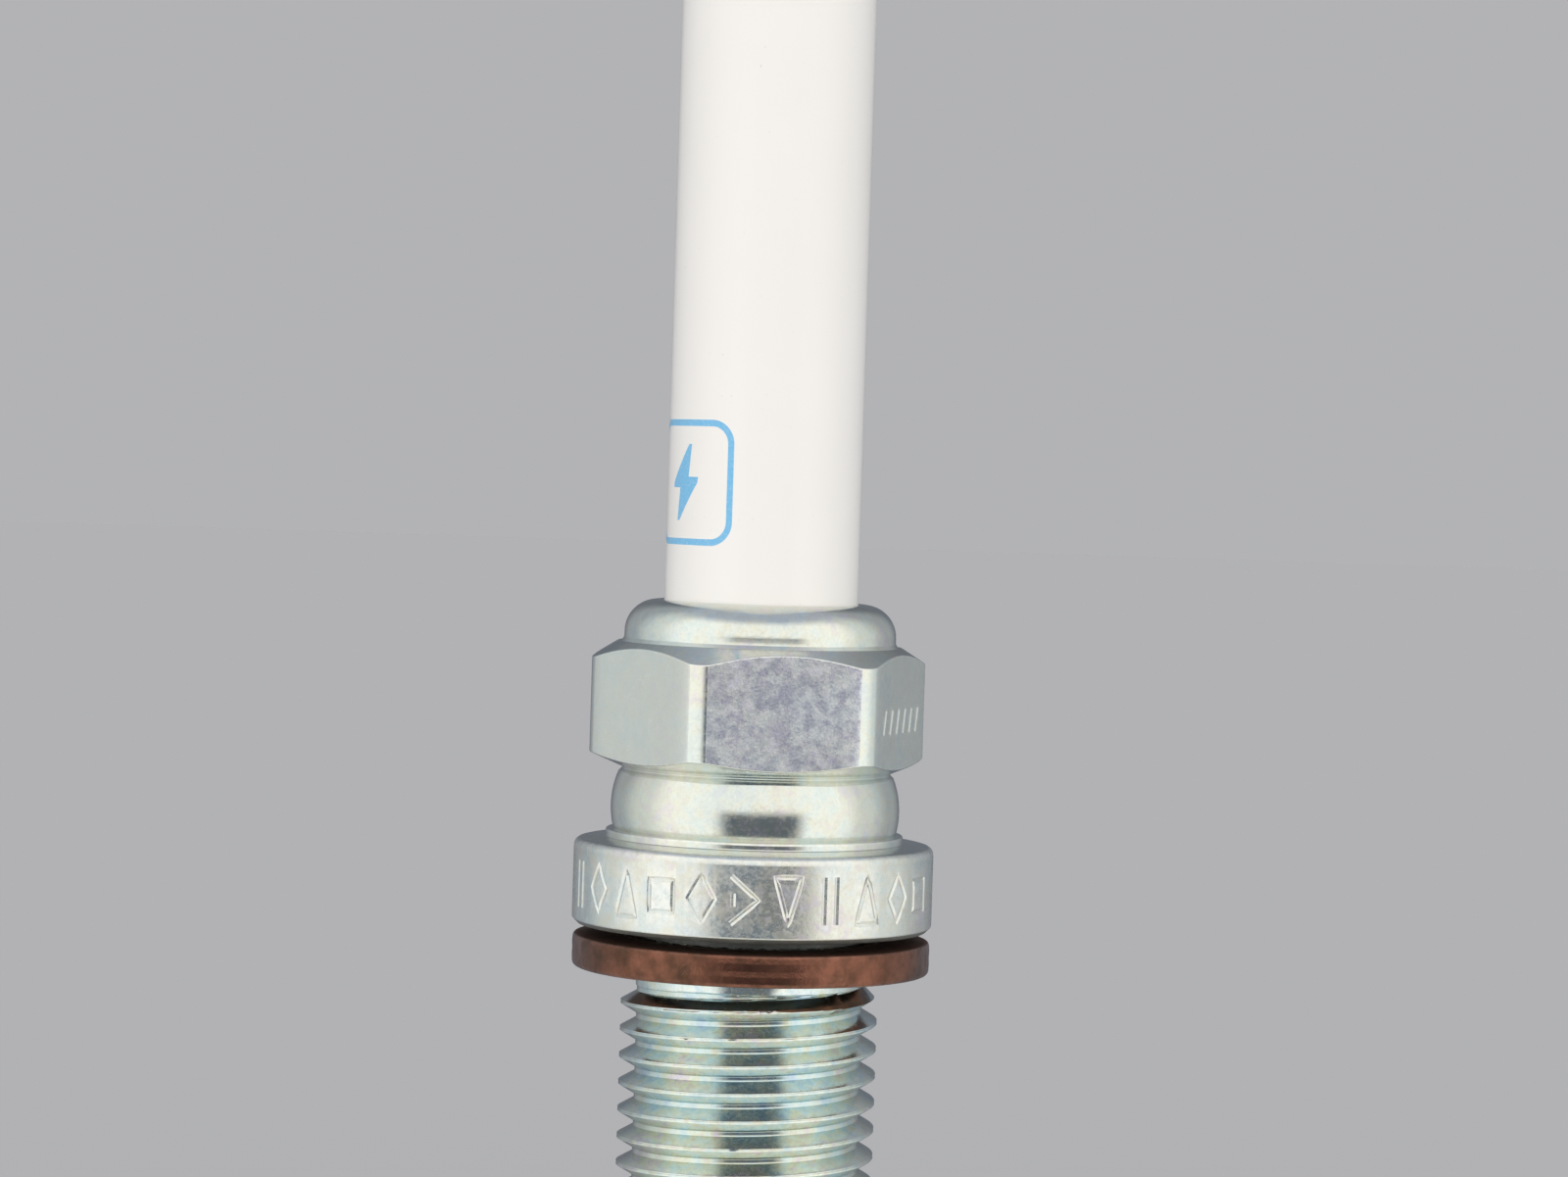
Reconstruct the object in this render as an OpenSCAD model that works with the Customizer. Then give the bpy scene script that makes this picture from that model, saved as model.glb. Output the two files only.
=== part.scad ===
// Long reach spark plug with an M12 x 1.25 thread, a 14 mm hexagon and a loose gasket.
// The origin is the centre of the shell's seat face. +Z runs up the axis to the terminal.

/* [Thread] */
// Diameter over the thread crests
thread_d = 11.95; // [11.4:0.05:14.4]
// Thread pitch
pitch = 1.25; // [1:0.05:1.5]
// Seat face to the firing end of the shell
reach = 26.5; // [22:0.5:32]
// Seat face to the middle of the first crest
first_crest = 3.35; // [2.9:0.05:4.5]
// Plain pilot between the last thread and the end of the shell
pilot_l = 1.6; // [1.2:0.1:2.5]

/* [Seat flange] */
// Seat flange diameter
flange_d = 16.7; // [15.5:0.1:20]
// Seat flange height
flange_h = 3.9; // [2.5:0.1:6]
// Height of the thin lip on top of the flange
lip_h = 0.5; // [0.3:0.05:0.8]
// Width of the step between the lip and the buckled wall
lip_step = 0.2; // [0.1:0.05:0.4]

/* [Buckled wall] */
// Height of the buckled thin wall, from the lip to the hexagon
bulge_h = 2.85; // [2:0.05:4]
// Thickness of the buckled wall
bulge_wall = 1.05; // [0.8:0.05:1.2]
// Depth of the hollow inside the buckled wall
bulge_hollow = 0.35; // [0.1:0.05:0.5]
// Radius of the barrel curve of the buckled wall
bulge_curve = 4.2; // [3:0.1:8]

/* [Hexagon] */
// Width across the flats
hex_af = 14; // [13.8:0.05:17]
// Hexagon height
hex_h = 5.85; // [4:0.05:9]
// How far the sharp corners are turned down
corner_cut = 0.26; // [0.1:0.02:0.6]
// Height of the chamfer at the upper corners
chamfer_up = 0.77; // [0.4:0.01:1]
// Height of the chamfer at the lower corners
chamfer_low = 0.7; // [0.4:0.01:1]
// Turn of the hexagon about the axis
hex_turn = 10; // [0:1:59]

/* [Crimped collar] */
// Height of the collar above the hexagon
collar_h = 1.95; // [1.8:0.05:3]
// Thickness of the collar's wall
collar_wall = 1; // [0.8:0.05:1.2]
// Outer radius of the fold
fold_r = 1.5; // [1.3:0.05:1.7]

/* [Shell bore] */
// Bore inside the threaded part
bore_d = 7.6; // [7.2:0.1:8]
// Bore through the insulator's ledge
ledge_d = 6.1; // [5.9:0.05:6.3]
// Seat face to the top of the ledge
ledge_depth = 15; // [12:0.5:18]
// Length of the ledge's bore
ledge_l = 1.6; // [1:0.1:3]
// Bore at the firing end
mouth_d = 7.1; // [6.6:0.1:7.4]

/* [Insulator] */
// Diameter of the glazed upper body
insulator_d = 9; // [7.5:0.05:10.5]
// Seat face to the top of the insulator
insulator_top = 53.7; // [40:0.1:70]
// Width of the packing between the upper body and the shell
packing_w = 0.8; // [0.7:0.05:1]
// Height of the packing under the collar's fold
packing_h = 3.65; // [3:0.05:4.5]
// Extra radius at the root of the upper body, inside the collar
root_draft = 0.05; // [0.02:0.01:0.1]
// Height of the sloped shoulder under the packing
shoulder_h = 0.6; // [0.4:0.05:0.8]
// Seat face to the lower edge of the insulator's flange
belly_z = 2; // [1.5:0.1:3.5]
// Diameter of the nose tip
nose_tip_d = 3.9; // [3.5:0.1:4.4]
// Nose tip beyond the end of the shell
nose_out = 1.4; // [0.5:0.1:3]
// Rounding of the nose tip and the insulator's top edge
edge_r = 0.4; // [0.2:0.05:0.6]
// Bore that holds the terminal, the seals and the resistor
stem_bore_d = 3.7; // [3.4:0.05:4.4]
// Bore that holds the centre electrode
electrode_bore_d = 2.4; // [2:0.05:2.8]
// Seat face down to the step between the two bores
bore_step = 3; // [1:0.1:6]

/* [Terminal] */
// Head diameter
head_d = 6.35; // [6:0.05:6.5]
// Length of the head's straight side
head_l = 3.4; // [3:0.1:4.5]
// Waist diameter
waist_d = 4.6; // [4.2:0.1:5.2]
// Diameter of the foot on the insulator
foot_d = 6; // [5.5:0.1:7]
// Terminal height above the insulator
terminal_h = 8.8; // [8:0.1:10]

/* [Seals and resistor] */
// Length of the electrode's glass seal, from the bore step
lower_seal_l = 5; // [4:0.5:7]
// Resistor length
resistor_l = 9; // [6:0.5:12]
// Glass between the resistor and the stem
seal_floor = 2; // [1:0.5:4]
// Length of the stem that the upper glass seal grips
seal_grip = 3; // [2:0.5:6]

/* [Electrodes] */
// Height of the centre electrode's head above the bore step
electrode_head_h = 2.1; // [1.6:0.1:2.8]
// Centre electrode beyond the insulator nose
electrode_out = 1; // [0.6:0.1:2]
// Wall of the nickel sheath around the copper core
sheath = 0.5; // [0.3:0.05:0.7]
// Diameter of the noble metal tip
tip_d = 0.6; // [0.4:0.05:0.8]
// Length of the noble metal tip
tip_l = 0.8; // [0.5:0.05:1.2]
// Spark gap
spark_gap = 0.7; // [0.5:0.05:1.1]
// Pad diameter
pad_d = 1; // [0.6:0.1:1.4]
// Pad height
pad_h = 0.15; // [0.1:0.05:0.3]
// Ground electrode width
strap_w = 2.6; // [2.2:0.1:2.8]
// Ground electrode width at its free end
strap_tip_w = 1.7; // [1.4:0.1:2.2]
// Ground electrode thickness
strap_t = 1.25; // [1.1:0.05:1.5]
// Inner radius of the ground electrode's bend
bend_r = 0.9; // [0.6:0.1:1.2]
// Free end of the ground electrode beyond the axis
strap_end = 1; // [0.6:0.1:1.4]
// Nickel around the ground electrode's copper core
strap_skin = 0.4; // [0.3:0.05:0.5]

/* [Gasket] */
// Gasket outer diameter
gasket_d = 16.6; // [15:0.1:20]
// Gasket thickness
gasket_t = 1.5; // [1:0.05:1.8]
// How much smaller the gasket's hole is than the thread, so that it stays on
gasket_hold = 0.35; // [0.2:0.05:0.5]
// Gap between the gasket and the seat face as it lies loose
gasket_drop = 0.49; // [0.1:0.01:0.9]
// Bevel on the gasket's edges
gasket_bevel = 0.25; // [0.22:0.01:0.35]

/* [Clearances] */
// Radial gap between the insulator and the shell's bores
slip = 0.15; // [0.1:0.01:0.2]
// Radial gap between the insulator's nose and the ledge
nose_gap = 0.25; // [0.1:0.05:0.4]
// Radial gap between the crimp and the insulator
crimp_gap = 0.08; // [0.05:0.01:0.12]
// Radial gap around the terminal's stem
stem_gap = 0.1; // [0.05:0.01:0.2]
// Radial gap around the centre electrode
electrode_gap = 0.05; // [0.03:0.01:0.1]
// Radial gap around the centre electrode's head
head_gap = 0.25; // [0.15:0.05:0.4]
// Radial gap around pieces that are cast, packed or pressed in
close = 0.02; // [0.01:0.01:0.03]

/* [Hidden] */
$fn = 96;
over = 1;            // how far a cut runs past the face it opens

// Thread, with the standard metric profile: depth 0.6 and crest 1/8 of the pitch, flanks at 60 degrees
thread_r = thread_d / 2;
thread_depth = 0.6 * pitch;
root_r = thread_r - thread_depth;
crest_half = pitch / 16;
root_half = pitch / 2 - crest_half - thread_depth * tan(30);
crests = 1 + floor((reach - pilot_l - first_crest) / pitch);
last_crest = first_crest + (crests - 1) * pitch;
neck_step = 0.075;
neck_r = root_r + neck_step;
pilot_step = 0.1;
pilot_r = root_r - pilot_step;
pilot_chamfer = 0.4;

// Insulator and shell radii, from the middle outwards
upper_r = insulator_d / 2;
crimp_r = upper_r + crimp_gap;
cavity_r = upper_r + packing_w;
belly_r = cavity_r - slip;
collar_r = cavity_r + collar_wall;
bulge_r = cavity_r + bulge_hollow + bulge_wall;
lip_r = bulge_r + lip_step;
flange_r = flange_d / 2;
bore_r = bore_d / 2;
body_r = bore_r - slip;
ledge_r = ledge_d / 2;
nose_r = ledge_r - nose_gap;
nose_tip_r = nose_tip_d / 2;
mouth_r = mouth_d / 2;

// Shell heights
flange_chamfer = 0.25;
flange_round = 0.4;
lip_slope = 0.15;
lip_top = flange_h + lip_h;
bulge_z = lip_top + 0.37 * bulge_h;    // the wall is widest a little below its middle
hex_z = lip_top + bulge_h;
hex_top = hex_z + hex_h;
collar_top = hex_top + collar_h;
fold_z = collar_top - fold_r;

// Buckled wall: its upper chamfer runs on into the hexagon
bulge_edge_h = 0.2;
bulge_edge_w = 0.9;
hollow_edge = 0.2;
hollow_low = bulge_z - 0.5;
hollow_high = bulge_z + 0.7;

// Hexagon, with its two end slopes in degrees
slope_up = 32;
slope_low = 23;
hex_core_inset = 0.4;
corner_r = hex_af / 2 / cos(30) - corner_cut;
chamfer_up_r = corner_r - chamfer_up / tan(slope_up);
chamfer_low_r = corner_r - chamfer_low / tan(slope_low);
hex_core_r = hex_af / 2 - hex_core_inset;

// Fold of the collar, and the flare at its root, which runs on into the hexagon
fold_c = collar_r - fold_r;
inner_fold_r = fold_r - collar_wall;
flare_w = 0.12;
flare_h = 0.3;

// Ledge and insulator heights: every slope inside the bore is at 45 degrees
ledge_low = ledge_depth + (bore_r - ledge_r) + ledge_l;
nose_end = -reach - nose_out;
washer_h = 0.55;
washer_inset = 0.05;
step_z = -ledge_depth - slip + washer_h;
stem_bore_r = stem_bore_d / 2;
electrode_bore_r = electrode_bore_d / 2;
bore_slope_top = -bore_step + (stem_bore_r - electrode_bore_r);

// Packing between the insulator's root and the collar
root_out = 0.15;
root_top = collar_top + root_out;
root_foot = fold_z - packing_h;
shoulder_z = root_foot - shoulder_h;
function root_at(z) = upper_r + root_draft * (root_top - z) / (root_top - root_foot);
wire_r = (cavity_r - root_at(root_foot)) / 2 - close;
ring_r = cavity_r - close - wire_r;
lower_ring_z = root_foot + wire_r;
upper_ring_z = fold_z;

// Seals, resistor and stem
seal_r = stem_bore_r - close;
lower_seal_top = -bore_step + lower_seal_l;
resistor_top = lower_seal_top + resistor_l;
stem_end = resistor_top + seal_floor;
upper_seal_top = stem_end + seal_grip;
stem_r = stem_bore_r - stem_gap;
knurls = 4;
knurl_pitch = 0.6;
knurl_depth = 0.12;

// Terminal above the insulator
foot_h = 0.9;
waist_round = 0.2;
waist_low = foot_h + 4 * waist_round;
head_slope = 0.9;
head_top_slope = 0.8;
head_top_inset = 0.7;
head_low = terminal_h - head_top_slope - head_l;

// Centre electrode
electrode_r = electrode_bore_r - electrode_gap;
head_r = stem_bore_r - head_gap;
electrode_end = nose_end - electrode_out;
electrode_top = -bore_step + electrode_head_h;
head_neck_inset = 0.1;
head_neck_r = electrode_r - head_neck_inset;
head_neck_h = 0.7;
head_neck_slope = 0.3;
electrode_cone = 0.5;
tip_r = tip_d / 2;
face_rim = 0.25;
face_r = tip_r + face_rim;
core_r = electrode_r - sheath;
core_floor = 2;
core_end = electrode_end + core_floor;
tip_end = electrode_end - tip_l;
weld_h = 0.3;
weld_edge = 0.08;

// Ground electrode, a bar bent in the XZ plane
strap_top = tip_end - spark_gap - pad_h;
strap_low = strap_top - strap_t;
strap_inset = 0.25;
strap_in = pilot_r - strap_inset - strap_t;
bend_x = strap_in - bend_r;
bend_z = strap_top + bend_r;
taper_start = 1.3;
core_side = strap_skin + 0.25;
strap_core_w = strap_w - 2 * core_side;
core_stop = taper_start - 0.1;
bead = 0.35;

// Gasket
gasket_r = gasket_d / 2;
gasket_hole_r = thread_r - gasket_hold / 2;
gasket_top = -gasket_drop;
gasket_low = gasket_top - gasket_t;

// Points along an arc, from angle a0 to a1
function arc(x, z, r, a0, a1, steps) =
    [for (i = [0 : steps]) let (a = a0 + (a1 - a0) * i / steps) [x + r * cos(a), z + r * sin(a)]];

// One ridge of the thread, from its lower root to its upper root
function ridge(z) = [
    [root_r, z - pitch / 2 + root_half],
    [thread_r, z - crest_half],
    [thread_r, z + crest_half],
    [root_r, z + pitch / 2 - root_half]
];

shell_outline = concat(
    [[0, -reach], [pilot_r - pilot_chamfer, -reach], [pilot_r, -reach + pilot_chamfer]],
    [[pilot_r, -last_crest - pitch / 2]],
    [for (i = [crests - 1 : -1 : 0], p = ridge(-first_crest - i * pitch)) p],
    [[neck_r, -first_crest + pitch / 2], [neck_r, 0]],
    [[flange_r - flange_chamfer, 0], [flange_r, flange_chamfer]],
    arc(flange_r - flange_round, flange_h - flange_round, flange_round, 0, 90, 4),
    [[lip_r, flange_h + lip_slope], [lip_r, lip_top]],
    arc(bulge_r - bulge_curve, bulge_z, bulge_curve,
        -asin((bulge_z - lip_top) / bulge_curve),
        asin((hex_z - bulge_edge_h - bulge_z) / bulge_curve), 8),
    [[bulge_r - bulge_edge_w, hex_z + bulge_edge_h], [hex_core_r, hex_z + chamfer_low]],
    [[hex_core_r, hex_top - chamfer_up], [collar_r + 2 * flare_w, hex_top - flare_h]],
    [[collar_r, hex_top + flare_h]],
    arc(fold_c, fold_z, fold_r, 0, 90, 8),
    [[0, collar_top]]
);

shell_cavity = concat(
    [[0, -reach - over], [mouth_r, -reach - over], [mouth_r, -ledge_low - (mouth_r - ledge_r)]],
    [[ledge_r, -ledge_low], [ledge_r, -ledge_depth - (bore_r - ledge_r)], [bore_r, -ledge_depth]],
    [[bore_r, belly_z - slip - (cavity_r - bore_r)], [cavity_r, belly_z - slip]],
    [[cavity_r, lip_top + hollow_edge], [cavity_r + bulge_hollow, hollow_low]],
    [[cavity_r + bulge_hollow, hollow_high], [cavity_r, hex_z - hollow_edge]],
    arc(fold_c, fold_z, inner_fold_r, 0, 90, 5),
    [[crimp_r, fold_z + inner_fold_r], [crimp_r, collar_top + over], [0, collar_top + over]]
);

// Hexagon with turned corners and sloped ends
module hexagon() {
    intersection() {
        rotate(hex_turn) translate([0, 0, hex_z]) cylinder(d = hex_af / cos(30), h = hex_h, $fn = 6);
        rotate_extrude() polygon([
            [0, hex_z], [chamfer_low_r, hex_z], [corner_r, hex_z + chamfer_low],
            [corner_r, hex_top - chamfer_up], [chamfer_up_r, hex_top], [0, hex_top]
        ]);
    }
}

// Plated steel shell: thread, seat flange, buckled wall, hexagon and crimped collar
module shell() {
    color("#c2c6bf") difference() {
        union() {
            rotate_extrude() polygon(shell_outline);
            hexagon();
        }
        rotate_extrude() polygon(shell_cavity);
    }
}

insulator_outline = concat(
    [[0, nose_end]],
    arc(nose_tip_r - edge_r, nose_end + edge_r, edge_r, -90, 0, 4),
    [[nose_r, -ledge_low], [nose_r, step_z - (body_r - nose_r)], [body_r, step_z]],
    [[body_r, belly_z - (belly_r - body_r)], [belly_r, belly_z]],
    [[belly_r, shoulder_z], [root_at(root_foot), root_foot], [upper_r, root_top]],
    arc(upper_r - edge_r, insulator_top - edge_r, edge_r, 0, 90, 4),
    [[0, insulator_top]]
);

// Ceramic insulator with its stepped bore
module insulator() {
    color("#f0ede8") difference() {
        rotate_extrude() polygon(insulator_outline);
        rotate_extrude() polygon([
            [0, nose_end - over], [electrode_bore_r, nose_end - over], [electrode_bore_r, -bore_step],
            [stem_bore_r, bore_slope_top], [stem_bore_r, insulator_top + over], [0, insulator_top + over]
        ]);
    }
}

// Ring grooves around the buried end of the stem
function knurl(z) = [
    [stem_r, z],
    [stem_r - knurl_depth, z + knurl_pitch / 4],
    [stem_r - knurl_depth, z + knurl_pitch / 2],
    [stem_r, z + knurl_pitch * 3 / 4]
];

terminal_outline = concat(
    [[0, stem_end], [stem_r - knurl_depth, stem_end]],
    [for (i = [0 : knurls - 1], p = knurl(stem_end + knurl_depth + i * knurl_pitch)) p],
    [[stem_r, insulator_top], [foot_d / 2, insulator_top], [foot_d / 2, insulator_top + foot_h]],
    [[waist_d / 2 + waist_round, insulator_top + foot_h + 2 * waist_round]],
    [[waist_d / 2, insulator_top + waist_low], [waist_d / 2, insulator_top + head_low - head_slope]],
    [[head_d / 2, insulator_top + head_low], [head_d / 2, insulator_top + head_low + head_l]],
    [[head_d / 2 - head_top_inset, insulator_top + terminal_h], [0, insulator_top + terminal_h]]
);

// Terminal with its long stem in one piece
module terminal_post() {
    color("#b9bab6") rotate_extrude() polygon(terminal_outline);
}

// Conductive glass around the buried end of the stem
module upper_glass_seal() {
    color("#3b3a36") difference() {
        translate([0, 0, resistor_top]) cylinder(r = seal_r, h = upper_seal_top - resistor_top);
        translate([0, 0, stem_end]) cylinder(r = stem_r + close, h = seal_grip + over);
    }
}

// Resistor pressed into the middle of the bore
module resistor() {
    color("#2b2a2c") translate([0, 0, lower_seal_top]) cylinder(r = seal_r, h = resistor_l);
}

// Conductive glass around the head of the centre electrode
module lower_glass_seal() {
    color("#3b3a36") difference() {
        translate([0, 0, bore_slope_top]) cylinder(r = seal_r, h = lower_seal_top - bore_slope_top);
        rotate_extrude() polygon([
            [0, bore_slope_top - over], [head_r + close, bore_slope_top - over],
            [head_r + close, electrode_top - head_neck_h - head_neck_slope + close],
            [head_neck_r + close, electrode_top - head_neck_h + close],
            [head_neck_r + close, electrode_top], [0, electrode_top]
        ]);
    }
}

// Nickel centre electrode, a cup around its copper core
module centre_electrode() {
    color("#8f8c86") difference() {
        rotate_extrude() polygon([
            [0, electrode_end], [face_r, electrode_end],
            [electrode_r, electrode_end + electrode_cone],
            [electrode_r, -bore_step - (electrode_bore_r - electrode_r)],
            [head_r, -bore_step + (head_r - electrode_bore_r)],
            [head_r, electrode_top - head_neck_h - head_neck_slope],
            [head_neck_r, electrode_top - head_neck_h], [head_neck_r, electrode_top], [0, electrode_top]
        ]);
        translate([0, 0, core_end - close]) cylinder(r = core_r + close, h = electrode_top - core_end + over);
    }
}

// Copper core of the centre electrode
module electrode_copper_core() {
    color("#b56f4c") translate([0, 0, core_end]) cylinder(r = core_r, h = electrode_top - core_end);
}

// Weld collar at the foot of the noble metal tip
module tip_weld() {
    color("#77746f") difference() {
        rotate_extrude() polygon([
            [0, electrode_end], [face_r, electrode_end],
            [tip_r + weld_edge, electrode_end - weld_h], [0, electrode_end - weld_h]
        ]);
        translate([0, 0, electrode_end - weld_h - over])
            cylinder(r = tip_r + close / 2, h = weld_h + 2 * over);
    }
}

// Noble metal firing tip
module iridium_tip() {
    color("#a9abad") translate([0, 0, tip_end]) cylinder(r = tip_r, h = tip_l);
}

// Talc powder packed between the two wire rings
module talc_fill() {
    low = lower_ring_z + wire_r;
    high = upper_ring_z - wire_r;
    color("#d9d4c8") rotate_extrude() polygon([
        [root_at(low) + close, low], [cavity_r - close, low],
        [cavity_r - close, high], [root_at(high) + close, high]
    ]);
}

// Wire ring of the packing, centred at the height z
module packing_ring(z) {
    rotate_extrude() translate([ring_r, z]) circle(r = wire_r);
}

module upper_packing_ring() {
    color("#9a9a94") packing_ring(upper_ring_z);
}

module lower_packing_ring() {
    color("#9a9a94") packing_ring(lower_ring_z);
}

// Sealing washer between the insulator's step and the shell's ledge
module ledge_washer() {
    inner = ledge_r + washer_inset;
    outer = body_r - washer_inset;
    slope = -ledge_depth - bore_r;
    color("#8d8f8c") rotate_extrude() polygon([
        [inner, slope + inner], [outer, slope + outer],
        [outer, slope + outer + washer_h], [inner, slope + inner + washer_h]
    ]);
}

// Bent bar with square edges, inset from the strap's faces on every side
module bent_bar(inset, width, top, end_x) {
    rotate([90, 0, 0]) linear_extrude(width, center = true) {
        translate([strap_in + inset, bend_z]) square([strap_t - 2 * inset, top - bend_z]);
        translate([end_x, strap_low + inset]) square([bend_x - end_x, strap_t - 2 * inset]);
        translate([bend_x, bend_z]) intersection() {
            difference() {
                circle(r = bend_r + strap_t - inset);
                circle(r = bend_r + inset);
            }
            translate([0, -bend_r - strap_t]) square(bend_r + strap_t);
        }
    }
}

// Ground electrode, a bent strap with a narrower free end
module ground_electrode() {
    color("#8f8c86") difference() {
        intersection() {
            bent_bar(0, strap_w, -reach, -strap_end);
            translate([0, 0, strap_low - over]) linear_extrude(-reach - strap_low + 2 * over) polygon([
                [-strap_end, -strap_tip_w / 2], [taper_start, -strap_w / 2], [pilot_r + over, -strap_w / 2],
                [pilot_r + over, strap_w / 2], [taper_start, strap_w / 2], [-strap_end, strap_tip_w / 2]
            ]);
        }
        bent_bar(strap_skin - close, strap_core_w + 2 * close, -reach + over, core_stop - close);
    }
}

// Copper core of the ground electrode
module ground_copper_core() {
    color("#b56f4c") bent_bar(strap_skin, strap_core_w, -reach, core_stop);
}

// Weld flash around the root of the ground electrode
module strap_weld() {
    color("#77746f") translate([0, 0, -reach - bead]) difference() {
        intersection() {
            translate([strap_in - bead, -strap_w / 2 - bead, 0])
                cube([strap_t + 2 * bead, strap_w + 2 * bead, bead]);
            cylinder(r = pilot_r - pilot_chamfer + bead, h = bead);
        }
        translate([strap_in - close, -strap_w / 2 - close, -over])
            cube([strap_t + 2 * close, strap_w + 2 * close, bead + 2 * over]);
    }
}

// Noble metal pad under the firing tip
module ground_pad() {
    color("#a9abad") translate([0, 0, strap_top]) cylinder(d = pad_d, h = pad_h);
}

// Loose copper gasket, held on by the thread
module copper_gasket() {
    color("#8a5a45") rotate_extrude() polygon([
        [gasket_hole_r, gasket_low + gasket_bevel], [gasket_hole_r + gasket_bevel, gasket_low],
        [gasket_r - gasket_bevel, gasket_low], [gasket_r, gasket_low + gasket_bevel],
        [gasket_r, gasket_top - gasket_bevel], [gasket_r - gasket_bevel, gasket_top],
        [gasket_hole_r + gasket_bevel, gasket_top], [gasket_hole_r, gasket_top - gasket_bevel]
    ]);
}

shell();
insulator();
terminal_post();
upper_glass_seal();
resistor();
lower_glass_seal();
centre_electrode();
electrode_copper_core();
tip_weld();
iridium_tip();
talc_fill();
upper_packing_ring();
lower_packing_ring();
ledge_washer();
ground_electrode();
ground_copper_core();
strap_weld();
ground_pad();
copper_gasket();
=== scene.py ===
"""Looks of a long reach spark plug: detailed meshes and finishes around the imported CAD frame.

Sizes are in millimetres, with the seat face at z = 0 and the plug's axis along Z. A mesh turns them into
metres when it is made. Every piece's object stays at the origin.
"""

import logging
import math
from dataclasses import dataclass
from enum import Enum, IntEnum
from typing import Sequence

import bmesh
import bpy
import numpy as np
from mathutils import Matrix, Vector


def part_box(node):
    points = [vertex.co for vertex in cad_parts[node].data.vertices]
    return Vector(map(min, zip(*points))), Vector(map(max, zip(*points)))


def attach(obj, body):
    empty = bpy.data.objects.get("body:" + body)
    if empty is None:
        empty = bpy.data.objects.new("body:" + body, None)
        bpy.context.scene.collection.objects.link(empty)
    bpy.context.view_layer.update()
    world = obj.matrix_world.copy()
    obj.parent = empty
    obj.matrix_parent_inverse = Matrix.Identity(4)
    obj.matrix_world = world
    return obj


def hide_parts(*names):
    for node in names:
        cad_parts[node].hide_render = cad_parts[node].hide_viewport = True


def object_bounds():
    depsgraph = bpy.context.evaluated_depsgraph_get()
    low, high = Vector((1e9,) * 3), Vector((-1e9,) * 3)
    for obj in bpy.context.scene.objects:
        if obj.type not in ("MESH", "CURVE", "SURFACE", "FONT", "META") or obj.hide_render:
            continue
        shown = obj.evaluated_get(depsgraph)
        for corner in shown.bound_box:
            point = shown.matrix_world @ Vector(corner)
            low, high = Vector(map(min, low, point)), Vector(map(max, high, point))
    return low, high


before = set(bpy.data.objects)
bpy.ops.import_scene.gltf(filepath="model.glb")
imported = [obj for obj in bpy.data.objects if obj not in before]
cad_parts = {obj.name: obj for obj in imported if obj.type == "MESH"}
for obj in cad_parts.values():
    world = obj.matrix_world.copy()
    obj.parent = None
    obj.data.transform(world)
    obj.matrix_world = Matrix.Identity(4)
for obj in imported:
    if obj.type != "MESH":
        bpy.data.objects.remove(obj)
CAD_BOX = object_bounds()

LOG = logging.getLogger("spark_plug")
MM = 0.001
WELD_DISTANCE = 2e-7
SMOOTH_LIMIT = math.radians(28)
FULL_WEAR = math.radians(24)


class Body(Enum):
    """CAD bodies that the pieces ride on."""

    PLUG = "plug"
    GASKET = "gasket"


class Zone(IntEnum):
    """Parts of the shell's surface that differ in finish or carry painted shade, in material slot order."""

    TURNED = 0
    FORGED = 1
    ROLLED = 2
    # Painted shade: the seat face and the neck's top, in the gap above the gasket, are darker than the zinc
    # round them.
    SEAT = 3
    FLANGE = 4
    MOTTLED = 5


# ---------------------------------------------------------------- node helpers


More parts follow.
